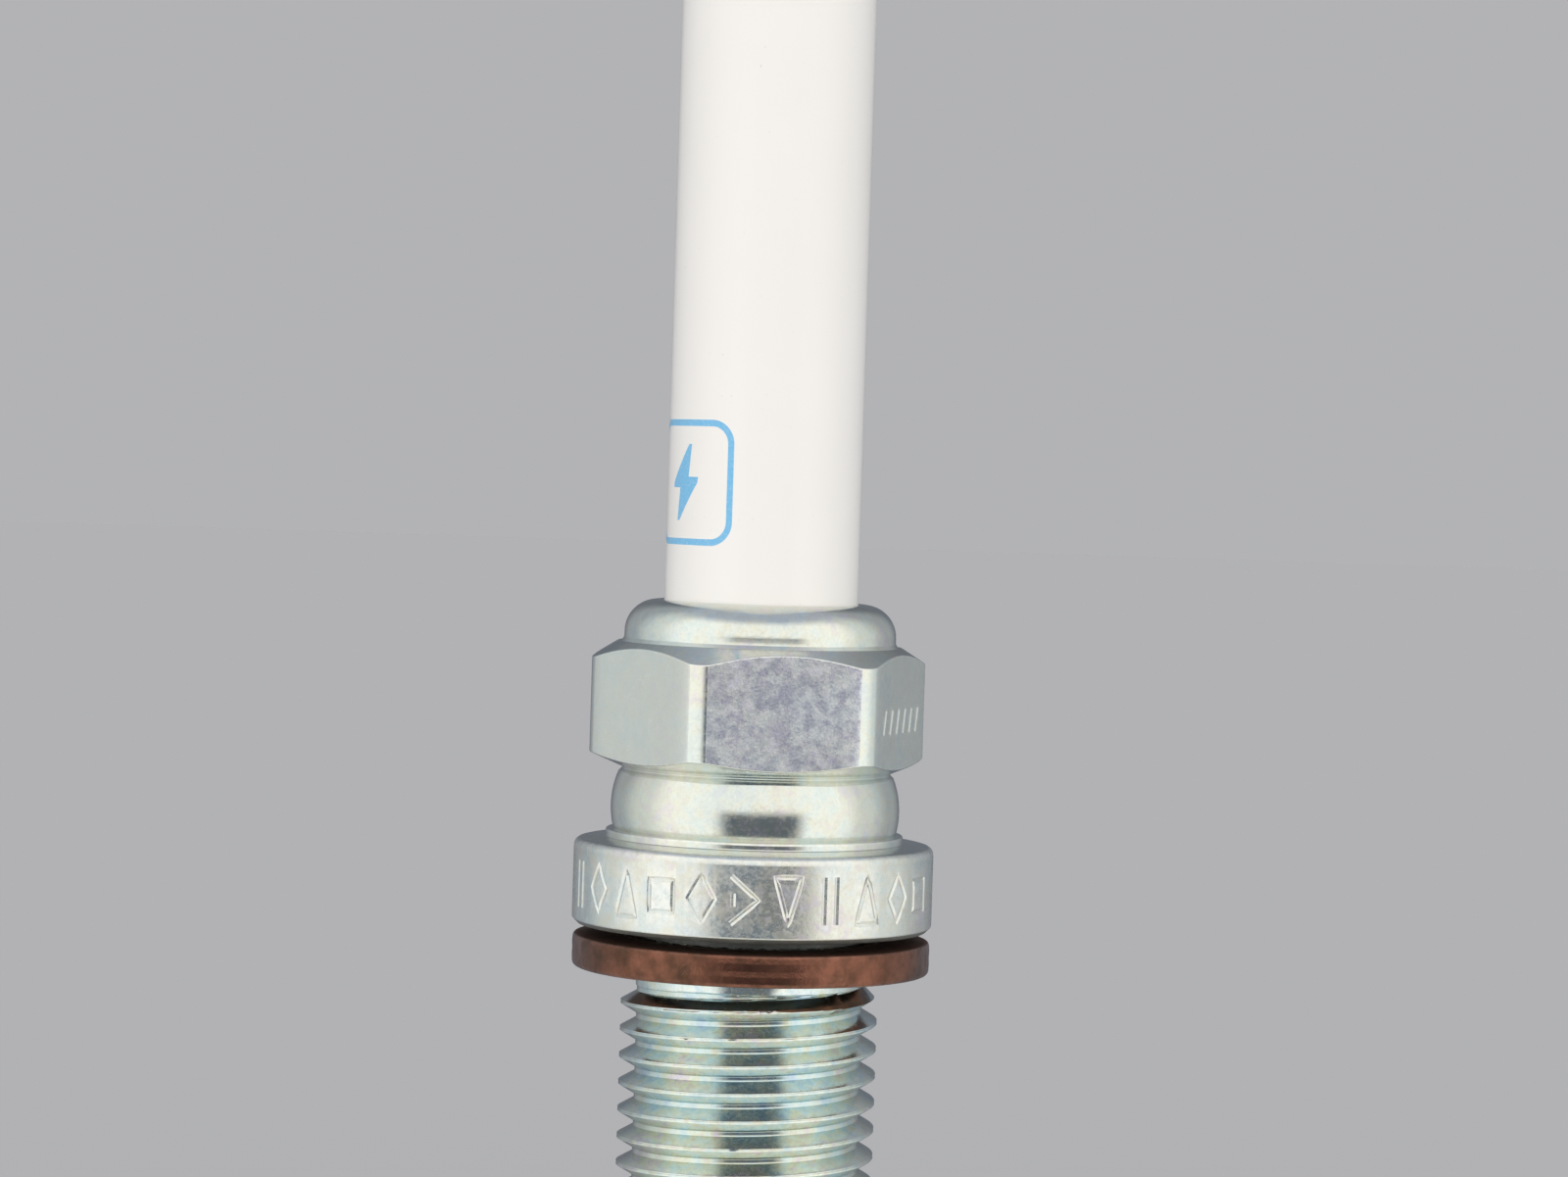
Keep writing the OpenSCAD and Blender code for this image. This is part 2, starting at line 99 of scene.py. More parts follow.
class NodeBench:
    """Adds nodes to a tree and joins them."""

    def __init__(self, tree: bpy.types.NodeTree) -> None:
        """Starts on a tree.

        Args:
            tree: The node tree that is built.
        """
        self.tree = tree

    def feed(self, socket: bpy.types.NodeSocket, value: object) -> None:
        """Links an input socket to an output socket, or sets its value.

        Args:
            socket: The input socket.
            value: A number, vector or colour, or the output socket that feeds it.
        """
        if isinstance(value, bpy.types.NodeSocket):
            self.tree.links.new(value, socket)
        else:
            socket.default_value = value

    def add(self, kind: str, inputs: dict | None = None, **settings: object) -> bpy.types.Node:
        """Adds one node.

        Args:
            kind: Blender's type name of the node.
            inputs: Socket name or index to a value, or to the output socket that feeds it.
            settings: Properties of the node.

        Returns:
            The new node.
        """
        node = self.tree.nodes.new(kind)
        for name, value in settings.items():
            setattr(node, name, value)
        for key, value in (inputs or {}).items():
            self.feed(node.inputs[key], value)
        return node

    def math(self, operation: str, *values: object, clamp: bool = False) -> bpy.types.NodeSocket:
        """Adds a Math node.

        Args:
            operation: The node's operation.
            values: Numbers or sockets, in order.
            clamp: Whether the result is held between 0 and 1.

        Returns:
            The node's output socket.
        """
        inputs = dict(enumerate(values))
        return self.add("ShaderNodeMath", inputs, operation=operation, use_clamp=clamp).outputs[0]

    def spread(
        self, value: object, low: float, high: float, to_low: float = 0, to_high: float = 1,
    ) -> bpy.types.NodeSocket:
        """Adds a Map Range node with a soft start and end.

        Args:
            value: The number or socket that is mapped.
            low: Value that gives to_low.
            high: Value that gives to_high.
            to_low: Result at low.
            to_high: Result at high.

        Returns:
            The node's output socket.
        """
        inputs = {"Value": value, "From Min": low, "From Max": high, "To Min": to_low, "To Max": to_high}
        return self.add("ShaderNodeMapRange", inputs, interpolation_type="SMOOTHSTEP").outputs["Result"]

    def noise(
        self, vector: object, scale: object, detail: float = 2, roughness: float = 0.5,
    ) -> bpy.types.NodeSocket:
        """Adds a Noise Texture and returns its factor socket."""
        inputs = {"Vector": vector, "Scale": scale, "Detail": detail, "Roughness": roughness}
        return self.add("ShaderNodeTexNoise", inputs).outputs[0]

    def blend(self, share: object, first: object, second: object) -> bpy.types.NodeSocket:
        """Mixes two colours.

        Args:
            share: Share of the second colour, as a number or a socket.
            first: The first colour or its socket.
            second: The second colour or its socket.

        Returns:
            The mixed colour's socket.
        """
        return self.add("ShaderNodeMix", {0: share, 6: first, 7: second}, data_type="RGBA").outputs[2]


def new_group(
    name: str, kind: str, inputs: dict[str, tuple], outputs: dict[str, str],
) -> tuple[NodeBench, bpy.types.Node, bpy.types.Node]:
    """Makes an empty node group with named sockets.

    Args:
        name: Name of the group.
        kind: ShaderNodeTree or GeometryNodeTree.
        inputs: Socket name to (type, default value).
        outputs: Socket name to type.

    Returns:
        The bench, the group's input node and its output node.
    """
    tree = bpy.data.node_groups.new(name, kind)
    for label, (socket_type, default) in inputs.items():
        socket = tree.interface.new_socket(label, in_out="INPUT", socket_type="NodeSocket" + socket_type)
        if default is not None:
            socket.default_value = default
    for label, socket_type in outputs.items():
        tree.interface.new_socket(label, in_out="OUTPUT", socket_type="NodeSocket" + socket_type)
    bench = NodeBench(tree)
    return bench, bench.add("NodeGroupInput"), bench.add("NodeGroupOutput")


# ---------------------------------------------------------------- mesh helpers


def rounded(corners: np.ndarray, radii: Sequence[float], steps: int = 4, support: float = 0.03) -> np.ndarray:
    """Rounds the corners of an outline, or of one outline for each column of a body.

    Args:
        corners: Points in order, shaped (points, columns, 2), each a radius and a height.
        radii: Fillet radius at each point; 0 leaves the point as it is.
        steps: Segments in each fillet.
        support: Distance from a fillet's ends to the extra points that keep the faces beside it flat.

    Returns:
        The rounded outline in the same form, with more points.
    """
    rows = [corners[0]]
    for i in range(1, len(corners) - 1):
        here = corners[i]
        if radii[i] <= 0:
            rows.append(here)
            continue
        back, ahead = corners[i - 1] - here, corners[i + 1] - here
        back_length = np.linalg.norm(back, axis=-1, keepdims=True)
        ahead_length = np.linalg.norm(ahead, axis=-1, keepdims=True)
        back, ahead = back / back_length, ahead / ahead_length
        half = np.arccos(np.clip((back * ahead).sum(-1, keepdims=True), -1, 0.9999)) / 2
        room = np.minimum(back_length, ahead_length)
        cut = np.minimum(radii[i] / np.tan(half), 0.45 * room)
        extra = np.minimum(support, 0.04 * room)
        start, end = here + back * cut, here + ahead * cut
        if support:
            rows.append(start + back * extra)
        for k in range(steps + 1):
            u = k / steps
            rows.append((1 - u) ** 2 * start + 2 * u * (1 - u) * here + u**2 * end)
        if support:
            rows.append(end + ahead * extra)
    rows.append(corners[-1])
    return np.stack(rows)


def arc(x: float, z: float, radius: float, start: float, end: float, steps: int) -> list[tuple]:
    """Points along an arc in the radius and height plane.

    Args:
        x: Radius of the arc's centre.
        z: Height of the arc's centre.
        radius: Radius of the arc.
        start: First angle in degrees.
        end: Last angle in degrees.
        steps: Number of segments.

    Returns:
        The points, first and last included, each with a fillet radius of 0.
    """
    angles = np.radians(np.linspace(start, end, steps + 1))
    return [(x + radius * math.cos(a), z + radius * math.sin(a), 0) for a in angles]


def outline(points: Sequence[tuple], steps: int = 4, support: float = 0.03) -> np.ndarray:
    """Rounds a list of (radius, height, fillet radius) points into an array of (radius, height)."""
    corners = np.array([[(r, z)] for r, z, _ in points], float)
    return rounded(corners, [f for _, _, f in points], steps, support)[:, 0]


def new_mesh_object(name: str, points: np.ndarray, edges: list, faces: list) -> bpy.types.Object:
    """Makes an object and links it to the scene.

    Args:
        name: Name of the object and its mesh.
        points: Places of the points, in millimetres.
        edges: Pairs of point numbers.
        faces: Rows of point numbers.

    Returns:
        The new object, at the origin.
    """
    mesh = bpy.data.meshes.new(name)
    mesh.from_pydata((np.asarray(points, float) * MM).tolist(), edges, faces)
    mesh.update()
    made = bpy.data.objects.new(name, mesh)
    bpy.context.scene.collection.objects.link(made)
    return made


def grow(base: bpy.types.Object, tree: bpy.types.NodeTree, values: dict[str, object]) -> bpy.types.Object:
    """Runs a Geometry Nodes tree on an object and keeps the result as its plain mesh.

    Args:
        base: The object that carries the modifier for a moment.
        tree: The Geometry Nodes tree.
        values: The tree's input names and their values.

    Returns:
        The same object with its new mesh and no modifier.
    """
    modifier = base.modifiers.new("grow", "NODES")
    modifier.node_group = tree
    for item in tree.interface.items_tree:
        if item.item_type == "SOCKET" and item.in_out == "INPUT" and item.name in values:
            modifier[item.identifier] = values[item.name]
    graph = bpy.context.evaluated_depsgraph_get()
    mesh = bpy.data.meshes.new_from_object(base.evaluated_get(graph), depsgraph=graph)
    base.modifiers.remove(modifier)
    old = base.data
    base.data = mesh
    bpy.data.meshes.remove(old)
    mesh.name = base.name
    return base


def close_up(made: bpy.types.Object) -> int:
    """Turns the faces outwards, shades them smooth and stores how sharp each point is.

    Args:
        made: The object, whose mesh is changed.

    Returns:
        The number of edges that don't have two faces.
    """
    mesh = bmesh.new()
    mesh.from_mesh(made.data)
    bmesh.ops.recalc_face_normals(mesh, faces=mesh.faces)
    pressed = mesh.faces.layers.float.get("stamp")
    sharpness = mesh.verts.layers.float.new("edge")
    for edge in mesh.edges:
        bend = edge.calc_face_angle_signed(0)
        rim = pressed is not None and len({face[pressed] > 0.5 for face in edge.link_faces}) > 1
        edge.smooth = abs(bend) < SMOOTH_LIMIT and not rim
        for vertex in edge.verts:
            vertex[sharpness] = max(vertex[sharpness], min(bend / FULL_WEAR, 1))
    for face in mesh.faces:
        face.smooth = True
    open_edges = sum(not edge.is_manifold for edge in mesh.edges)
    mesh.to_mesh(made.data)
    mesh.free()
    return open_edges


def dress(made: bpy.types.Object, materials: Sequence[bpy.types.Material]) -> None:
    """Gives a mesh its materials.

    Args:
        made: The object.
        materials: The materials in slot order.
    """
    made.data.materials.clear()
    for material in materials:
        made.data.materials.append(material)


def hand_over(made: bpy.types.Object, body: Body, slot: str, *nodes: str) -> None:
    """Closes a piece, puts it on its CAD body and reports it.

    Args:
        made: The finished piece.
        body: The body that it rides on.
        slot: The record's material slot; not used.
        nodes: The CAD nodes that it stands for.
    """
    open_edges = close_up(made)
    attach(made, body.value)
    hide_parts(*nodes)
    LOG.info("%s: %d faces, %d open edges", made.name, len(made.data.polygons), open_edges)


# ---------------------------------------------------------------- Geometry Nodes trees


@dataclass
class Lathe:
    """Turns an outline round the Z axis with a Geometry Nodes tree.

    With a lead, the outline climbs as it turns, and a row that reaches the low or high end stops there.
    """

    segments: int = 128

    def tree(self, threaded: bool) -> bpy.types.NodeTree:
        """Builds the tree.

        Args:
            threaded: Whether the outline climbs as a thread and runs out at both ends.

        Returns:
            A tree whose input geometry is an outline of points in the XZ plane.
        """
        inputs = {"Geometry": ("Geometry", None), "Segments": ("Int", 128), "Material": ("Material", None)}
        if threaded:
            labels = ("Lead", "Low", "High", "Neck", "Pilot", "Slope", "Ragged")
            inputs |= {label: ("Float", 0.0) for label in labels}
        name = "rolled_thread" if threaded else "turned_body"
        bench, start, end = new_group(name, "GeometryNodeTree", inputs, {"Geometry": "Geometry"})
        given = start.outputs
        size = bench.add("GeometryNodeAttributeDomainSize", {"Geometry": given["Geometry"]})
        rows = size.outputs["Point Count"]
        columns = bench.math("ADD", given["Segments"], 1)
        grid = bench.add("GeometryNodeMeshGrid", {"Vertices X": columns, "Vertices Y": rows})
        index = bench.add("GeometryNodeInputIndex").outputs[0]
        column = bench.math("FLOOR", bench.math("DIVIDE", bench.math("ADD", index, 0.5), rows))
        row = bench.math("SUBTRACT", index, bench.math("MULTIPLY", column, rows))
        place = bench.add("GeometryNodeInputPosition").outputs[0]
        sample = bench.add(
            "GeometryNodeSampleIndex",
            {"Geometry": given["Geometry"], "Value": place, "Index": row},
            data_type="FLOAT_VECTOR",
        )
        parts = bench.add("ShaderNodeSeparateXYZ", {"Vector": sample.outputs[0]}).outputs
        radius, height = parts["X"], parts["Z"]
        turn = bench.math("DIVIDE", column, given["Segments"])
        if threaded:
            radius, height = self.run_out(bench, given, turn, radius, height, parts["Y"])
        angle = bench.math("MULTIPLY", turn, math.tau)
        x = bench.math("MULTIPLY", radius, bench.math("COSINE", angle))
        y = bench.math("MULTIPLY", radius, bench.math("SINE", angle))
        point = bench.add("ShaderNodeCombineXYZ", {"X": x, "Y": y, "Z": height}).outputs[0]
        placed = bench.add("GeometryNodeSetPosition", {"Geometry": grid.outputs["Mesh"], "Position": point})
        merged = bench.add(
            "GeometryNodeMergeByDistance", {"Geometry": placed.outputs[0], "Distance": WELD_DISTANCE},
        )
        real = bench.add("GeometryNodeRealizeInstances", {"Geometry": merged.outputs[0]})
        painted = bench.add(
            "GeometryNodeSetMaterial", {"Geometry": real.outputs[0], "Material": given["Material"]}
        )
        bench.tree.links.new(painted.outputs[0], end.inputs["Geometry"])
        return bench.tree

    @staticmethod
    def run_out(
        bench: NodeBench, given: bpy.types.bpy_prop_collection, turn: bpy.types.NodeSocket,
        radius: bpy.types.NodeSocket, height: bpy.types.NodeSocket, seam: bpy.types.NodeSocket,
    ) -> tuple[bpy.types.NodeSocket, bpy.types.NodeSocket]:
        """Makes the rows climb by the lead, and fades the thread out at its two ends.

        Args:
            bench: The bench of the tree.
            given: The group input's sockets.
            turn: Share of a turn, from 0 to 1.
            radius: Radius of the row.
            height: Height of the row at the start of the turn.
            seam: Socket that is above 0 on the crest's rolling seam.

        Returns:
            The radius and height sockets.
        """
        climbed = bench.math("ADD", height, bench.math("MULTIPLY", turn, given["Lead"]))
        above = bench.math("MAXIMUM", climbed, given["Low"])
        level = bench.math("MINIMUM", above, given["High"])
        angle = bench.math("MULTIPLY", turn, math.tau)
        climb_share = 400
        circle = {
            "X": bench.math("COSINE", angle), "Y": bench.math("SINE", angle),
            "Z": bench.math("MULTIPLY", level, climb_share),
        }
        around = bench.add("ShaderNodeCombineXYZ", circle).outputs[0]
        flutter = bench.math("SUBTRACT", bench.noise(around, 26, 3, 0.7), 0.5)
        ragged = bench.math("MULTIPLY", bench.math("MULTIPLY", flutter, seam), given["Ragged"])
        rolled = bench.math("ADD", radius, ragged)
        from_top = bench.math("SUBTRACT", given["High"], level)
        from_low = bench.math("SUBTRACT", level, given["Low"])
        top_limit = bench.math("MULTIPLY_ADD", from_top, given["Slope"], given["Neck"])
        low_limit = bench.math("MULTIPLY_ADD", from_low, given["Slope"], given["Pilot"])
        limited = bench.math("MINIMUM", rolled, bench.math("MINIMUM", top_limit, low_limit))
        floor = bench.math("SUBTRACT", given["Neck"], from_top)
        return bench.math("MAXIMUM", limited, floor), level

    def turn(self, name: str, points: np.ndarray, material: bpy.types.Material) -> bpy.types.Object:
        """Turns an outline into a closed body.

        Args:
            name: Name of the piece.
            points: Radius and height of each point, in order.
            material: The finish.

        Returns:
            The turned piece.
        """
        line = [(r, 0, z) for r, z in points]
        base = new_mesh_object(name, line, [(i, i + 1) for i in range(len(line) - 1)], [])
        values = {"Segments": self.segments, "Material": material}
        made = grow(base, LATHE_TREES["plain"], values)
        dress(made, [material])
        return made


LATHE_TREES: dict[str, bpy.types.NodeTree] = {}


def stamping_tree() -> bpy.types.NodeTree:
    """Builds the tree that presses grooves along lines into a body.

    Returns:
        A tree with the body as its geometry and the lines as another object. Each line's points hold the
        direction that faces out of the body in their "out" attribute.
    """
    inputs = {
        "Geometry": ("Geometry", None), "Lines": ("Object", None), "Width": ("Float", 0.0002),
        "Depth": ("Float", 0.0001), "Material": ("Material", None),
    }
    floor_share, flare = 0.15, 1.85
    bench, start, end = new_group("stamped_grooves", "GeometryNodeTree", inputs, {"Geometry": "Geometry"})
    given = start.outputs
    lines = bench.add("GeometryNodeObjectInfo", {"Object": given["Lines"]}, transform_space="ORIGINAL")
    out = bench.add("GeometryNodeInputNamedAttribute", {"Name": "out"}, data_type="FLOAT_VECTOR")
    kept = bench.add("GeometryNodeCaptureAttribute", {"Geometry": lines.outputs["Geometry"]})
    kept.capture_items.new("VECTOR", "Out")
    bench.tree.links.new(out.outputs["Attribute"], kept.inputs["Out"])
    curve = bench.add("GeometryNodeMeshToCurve", {"Mesh": kept.outputs["Geometry"]})
    facing = bench.add("GeometryNodeSetCurveNormal", {"Curve": curve.outputs[0]}, mode="FREE")
    bench.tree.links.new(kept.outputs["Out"], facing.inputs["Normal"])
    half = bench.math("DIVIDE", given["Width"], 2)
    deep = bench.math("MULTIPLY", given["Depth"], -1)
    floor_half = bench.math("MULTIPLY", half, floor_share)
    section = bench.add("GeometryNodeCurvePrimitiveQuadrilateral", mode="POINTS")
    above = given["Depth"]
    corners = ((flare, half, above), (-flare, half, above), (-1.0, floor_half, deep), (1.0, floor_half, deep))
    for label, (side, reach, level) in zip(("Point 1", "Point 2", "Point 3", "Point 4"), corners):
        across = bench.math("MULTIPLY", reach, side)
        corner = bench.add("ShaderNodeCombineXYZ", {"X": level, "Y": across}).outputs[0]
        bench.tree.links.new(corner, section.inputs[label])
    cutters = bench.add(
        "GeometryNodeCurveToMesh",
        {"Curve": facing.outputs[0], "Profile Curve": section.outputs["Curve"], "Fill Caps": True},
    )
    outward = bench.add("GeometryNodeFlipFaces", {"Mesh": cutters.outputs["Mesh"]})
    stamp = {"Geometry": outward.outputs["Mesh"], "Name": "stamp", "Value": 1.0}
    pressed = bench.add("GeometryNodeStoreNamedAttribute", stamp, data_type="FLOAT", domain="FACE")
    cut = bench.add("GeometryNodeMeshBoolean", operation="DIFFERENCE", solver="MANIFOLD")
    bench.tree.links.new(given["Geometry"], cut.inputs["Mesh 1"])
    bench.tree.links.new(pressed.outputs[0], cut.inputs["Mesh 2"])
    real = bench.add("GeometryNodeRealizeInstances", {"Geometry": cut.outputs["Mesh"]})
    paint = {"Geometry": real.outputs[0], "Material": given["Material"]}
    painted = bench.add("GeometryNodeSetMaterial", paint)
    bench.tree.links.new(painted.outputs[0], end.inputs["Geometry"])
    return bench.tree


def strap_tree() -> bpy.types.NodeTree:
    """Builds the tree that draws a rounded flat bar along a bent line and narrows its free end.

    Returns:
        A tree whose input geometry is the bar's centre line in the XZ plane.
    """
    names = ("Width", "Thickness", "Corner", "Narrow from", "Narrow to", "Tip share", "Bottom")
    inputs = {"Geometry": ("Geometry", None)} | {name: ("Float", 0.001) for name in names}
    inputs["Material"] = ("Material", None)
    bench, start, end = new_group("bent_strap", "GeometryNodeTree", inputs, {"Geometry": "Geometry"})
    given = start.outputs
    line = bench.add("GeometryNodeMeshToCurve", {"Mesh": given["Geometry"]})
    out = bench.add("ShaderNodeCombineXYZ", {"Y": 1.0}).outputs[0]
    facing = bench.add("GeometryNodeSetCurveNormal", {"Curve": line.outputs[0], "Normal": out}, mode="FREE")
    box = bench.add(
        "GeometryNodeCurvePrimitiveQuadrilateral", {"Width": given["Width"], "Height": given["Thickness"]},
        mode="RECTANGLE",
    )
    fillet = {"Curve": box.outputs["Curve"], "Count": 4, "Radius": given["Corner"], "Limit Radius": True}
    soft = bench.add("GeometryNodeFilletCurve", fillet, mode="POLY")
    bar = bench.add(
        "GeometryNodeCurveToMesh",
        {"Curve": facing.outputs[0], "Profile Curve": soft.outputs[0], "Fill Caps": True},
    )
    place = bench.add("GeometryNodeInputPosition").outputs[0]
    parts = bench.add("ShaderNodeSeparateXYZ", {"Vector": place}).outputs
    ramp = {
        "Value": parts["X"], "From Min": given["Narrow to"], "From Max": given["Narrow from"],
        "To Min": given["Tip share"], "To Max": 1.0,
    }
    share = bench.add("ShaderNodeMapRange", ramp).outputs["Result"]
    flat_run = bench.math("LESS_THAN", parts["Z"], given["Bottom"])
    full = bench.add("ShaderNodeMix", {0: flat_run, 2: 1.0, 3: share}, data_type="FLOAT").outputs[0]
    narrow = bench.math("MULTIPLY", parts["Y"], full)
    point = bench.add("ShaderNodeCombineXYZ", {"X": parts["X"], "Y": narrow, "Z": parts["Z"]}).outputs[0]
    shaped = bench.add("GeometryNodeSetPosition", {"Geometry": bar.outputs["Mesh"], "Position": point})
    real = bench.add("GeometryNodeRealizeInstances", {"Geometry": shaped.outputs[0]})
    paint = {"Geometry": real.outputs[0], "Material": given["Material"]}
    painted = bench.add("GeometryNodeSetMaterial", paint)
    bench.tree.links.new(painted.outputs[0], end.inputs["Geometry"])
    return bench.tree


# ---------------------------------------------------------------- shared shader groups


FILM_COLOURS = (
    (0.0, (0.72, 0.82, 1.00)), (0.28, (0.84, 0.97, 1.00)), (0.48, (0.98, 1.00, 0.95)),
    (0.66, (1.00, 0.96, 0.76)), (0.82, (1.00, 0.84, 0.90)), (1.0, (0.80, 0.79, 1.00)),
)


class Effects:
    """Shader node groups that more than one finish uses, each built once."""

    def __init__(self) -> None:
        """Builds the groups."""
        self.clouds = self.build_clouds()
        self.tool_marks = self.build_tool_marks()
        self.scratches = self.build_scratches()
        self.worn_edges = self.build_worn_edges()
        self.tint = self.build_tint()

    @staticmethod
    def build_clouds() -> bpy.types.NodeTree:
        """Builds soft patches of a given size.

        Returns:
            A group that puts out a mask from 0 to 1.
        """
        inputs = {
            "Vector": ("Vector", None), "Size": ("Float", 0.001), "Detail": ("Float", 3.0),
            "Low": ("Float", 0.35), "High": ("Float", 0.65), "Offset": ("Float", 0.0),
        }
        bench, start, end = new_group("clouds", "ShaderNodeTree", inputs, {"Mask": "Float"})
        given = start.outputs
        shift = bench.add("ShaderNodeVectorMath", {0: given["Vector"], 1: given["Offset"]}, operation="ADD")
        scale = bench.math("DIVIDE", 1.0, given["Size"])
        inputs = {"Vector": shift.outputs[0], "Scale": scale, "Detail": given["Detail"], "Roughness": 0.55}
        noise = bench.add("ShaderNodeTexNoise", inputs).outputs[0]
        ramp = {"Value": noise, "From Min": given["Low"], "From Max": given["High"]}
        mask = bench.add("ShaderNodeMapRange", ramp, interpolation_type="SMOOTHSTEP").outputs["Result"]
        bench.tree.links.new(mask, end.inputs["Mask"])
        return bench.tree

    @staticmethod
    def build_tool_marks() -> bpy.types.NodeTree:
        """Builds the fine rings that turning leaves.

        Returns:
            A group that puts out a height from 0 to 1.
        """
        inputs = {"Vector": ("Vector", None), "Spacing": ("Float", 0.0001)}
        bench, start, end = new_group("tool_marks", "ShaderNodeTree", inputs, {"Height": "Float"})
        parts = bench.add("ShaderNodeSeparateXYZ", {"Vector": start.outputs["Vector"]}).outputs
        across = bench.math("POWER", parts["X"], 2.0)
        along = bench.math("POWER", parts["Y"], 2.0)
        radius = bench.math("SQRT", bench.math("ADD", across, along))
        few = bench.math("MULTIPLY", bench.math("ARCTAN2", parts["Y"], parts["X"]), 0.00003)
        point = bench.add("ShaderNodeCombineXYZ", {"X": radius, "Y": few, "Z": parts["Z"]}).outputs[0]
        scale = bench.math("DIVIDE", 1.0, start.outputs["Spacing"])
        bench.tree.links.new(bench.noise(point, scale, 3, 0.65), end.inputs["Height"])
        return bench.tree

    @staticmethod
    def build_scratches() -> bpy.types.NodeTree:
        """Builds short fine handling scratches.

        Returns:
            A group that puts out a mask from 0 to 1.
        """
        inputs = {"Vector": ("Vector", None), "Length": ("Float", 0.002), "Amount": ("Float", 0.5)}
        bench, start, end = new_group("scratches", "ShaderNodeTree", inputs, {"Mask": "Float"})
        given = start.outputs
        scale = bench.math("DIVIDE", 1.0, given["Length"])
        masks = []
        for turn in (0.4, 1.9):
            tilt = {"Vector": given["Vector"], "Rotation": (turn, 0.3, turn * 2)}
            tilted = bench.add("ShaderNodeMapping", tilt).outputs[0]
            thin = bench.add("ShaderNodeVectorMath", {0: tilted, 1: (1.0, 14.0, 3.0)}, operation="MULTIPLY")
            field = bench.noise(thin.outputs[0], scale, 2, 0.6)
            line = bench.math("ABSOLUTE", bench.math("SUBTRACT", field, 0.5))
            masks.append(bench.spread(line, 0.0, 0.012, 1, 0))
        both = bench.math("MAXIMUM", *masks)
        here = bench.spread(bench.noise(given["Vector"], bench.math("MULTIPLY", scale, 1.3), 2), 0.5, 0.62)
        mask = bench.math("MULTIPLY", bench.math("MULTIPLY", both, here), given["Amount"])
        bench.tree.links.new(mask, end.inputs["Mask"])
        return bench.tree

    @staticmethod
    def build_worn_edges() -> bpy.types.NodeTree:
        """Builds a broken pattern of wear along outer edges.

        Returns:
            A group that puts out a mask from 0 to 1.
        """
        inputs = {"Vector": ("Vector", None), "Amount": ("Float", 0.6)}
        bench, start, end = new_group("worn_edges", "ShaderNodeTree", inputs, {"Mask": "Float"})
        sharp = bench.add("ShaderNodeAttribute", attribute_name="edge").outputs["Fac"]
        broken = bench.spread(bench.noise(start.outputs["Vector"], 2600.0, 3, 0.7), 0.3, 0.6)
        worn = bench.math("MULTIPLY", sharp, broken, clamp=True)
        mask = bench.math("MULTIPLY", worn, start.outputs["Amount"])
        bench.tree.links.new(bench.math("MAXIMUM", mask, 0.0), end.inputs["Mask"])
        return bench.tree

    @staticmethod
    def build_tint() -> bpy.types.NodeTree:
        """Builds the thin-film colours of plating or heat over a base colour.

        Returns:
            A group that puts out the tinted colour, chosen by a film thickness from 0 to 1.
        """
        inputs = {"Base": ("Color", (0.7, 0.7, 0.7, 1)), "Film": ("Float", 0.5), "Strength": ("Float", 0.5)}
        bench, start, end = new_group("film_tint", "ShaderNodeTree", inputs, {"Color": "Color"})
        ramp = bench.add("ShaderNodeValToRGB", {"Fac": start.outputs["Film"]})
        elements = ramp.color_ramp.elements
        while len(elements) < len(FILM_COLOURS):
            elements.new(0.5)
        for element, (place, tone) in zip(elements, FILM_COLOURS):
            element.position = place
            element.color = (*tone, 1)
        film = bench.blend(start.outputs["Strength"], (1, 1, 1, 1), ramp.outputs["Color"])
        layers = {0: 1.0, 6: start.outputs["Base"], 7: film}
        both = bench.add("ShaderNodeMix", layers, data_type="RGBA", blend_type="MULTIPLY")
        bench.tree.links.new(both.outputs[2], end.inputs["Color"])
        return bench.tree


class Palette(NodeBench):
    """A new material with its shader, and the shared effects at hand."""

    def __init__(self, name: str, effects: Effects) -> None:
        """Makes the material.

        Args:
            name: Name of the material.
            effects: The shared shader groups.
        """
        self.material = bpy.data.materials.new(name)
        self.material.use_nodes = True
        super().__init__(self.material.node_tree)
        self.tree.nodes.clear()
        self.effects = effects
        self.shader = self.add("ShaderNodeBsdfPrincipled")
        output = self.add("ShaderNodeOutputMaterial", {"Surface": self.shader.outputs[0]})
        output.is_active_output = True
        self.place = self.add("ShaderNodeTexCoord").outputs["Object"]

    def use(self, group: bpy.types.NodeTree, values: dict) -> bpy.types.NodeSocket:
        """Places a shared group, on the piece's own coordinates.

        Args:
            group: The shared group.
            values: Its inputs' names and their values or sockets.

        Returns:
            The group's first output.
        """
        node = self.add("ShaderNodeGroup", node_tree=group)
        for name, value in values.items():
            self.feed(node.inputs[name], value)
        if "Vector" in node.inputs:
            self.tree.links.new(self.place, node.inputs["Vector"])
        return node.outputs[0]

    def clouds(
        self, size: float, low: float, high: float, detail: float = 3, offset: float = 0,
    ) -> bpy.types.NodeSocket:
        """Places the clouds group; size is in millimetres."""
        values = {"Size": size * MM, "Low": low, "High": high, "Detail": detail, "Offset": offset}
        return self.use(self.effects.clouds, values)

    def set(self, **values: object) -> None:
        """Sets or feeds the shader's sockets; an underscore in a name stands for a space."""
        for name, value in values.items():
            self.feed(self.shader.inputs[name.replace("_", " ")], value)

    def bumps(self, *layers: tuple) -> None:
        """Feeds the shader's normal from bumps on one another.

        Args:
            layers: Pairs of a height socket and its depth in millimetres.
        """
        normal = None
        for height, depth in layers:
            inputs = {"Height": height, "Distance": depth * MM, "Strength": 1.0}
            if normal is not None:
                inputs["Normal"] = normal
            normal = self.add("ShaderNodeBump", inputs).outputs[0]
        self.set(Normal=normal)


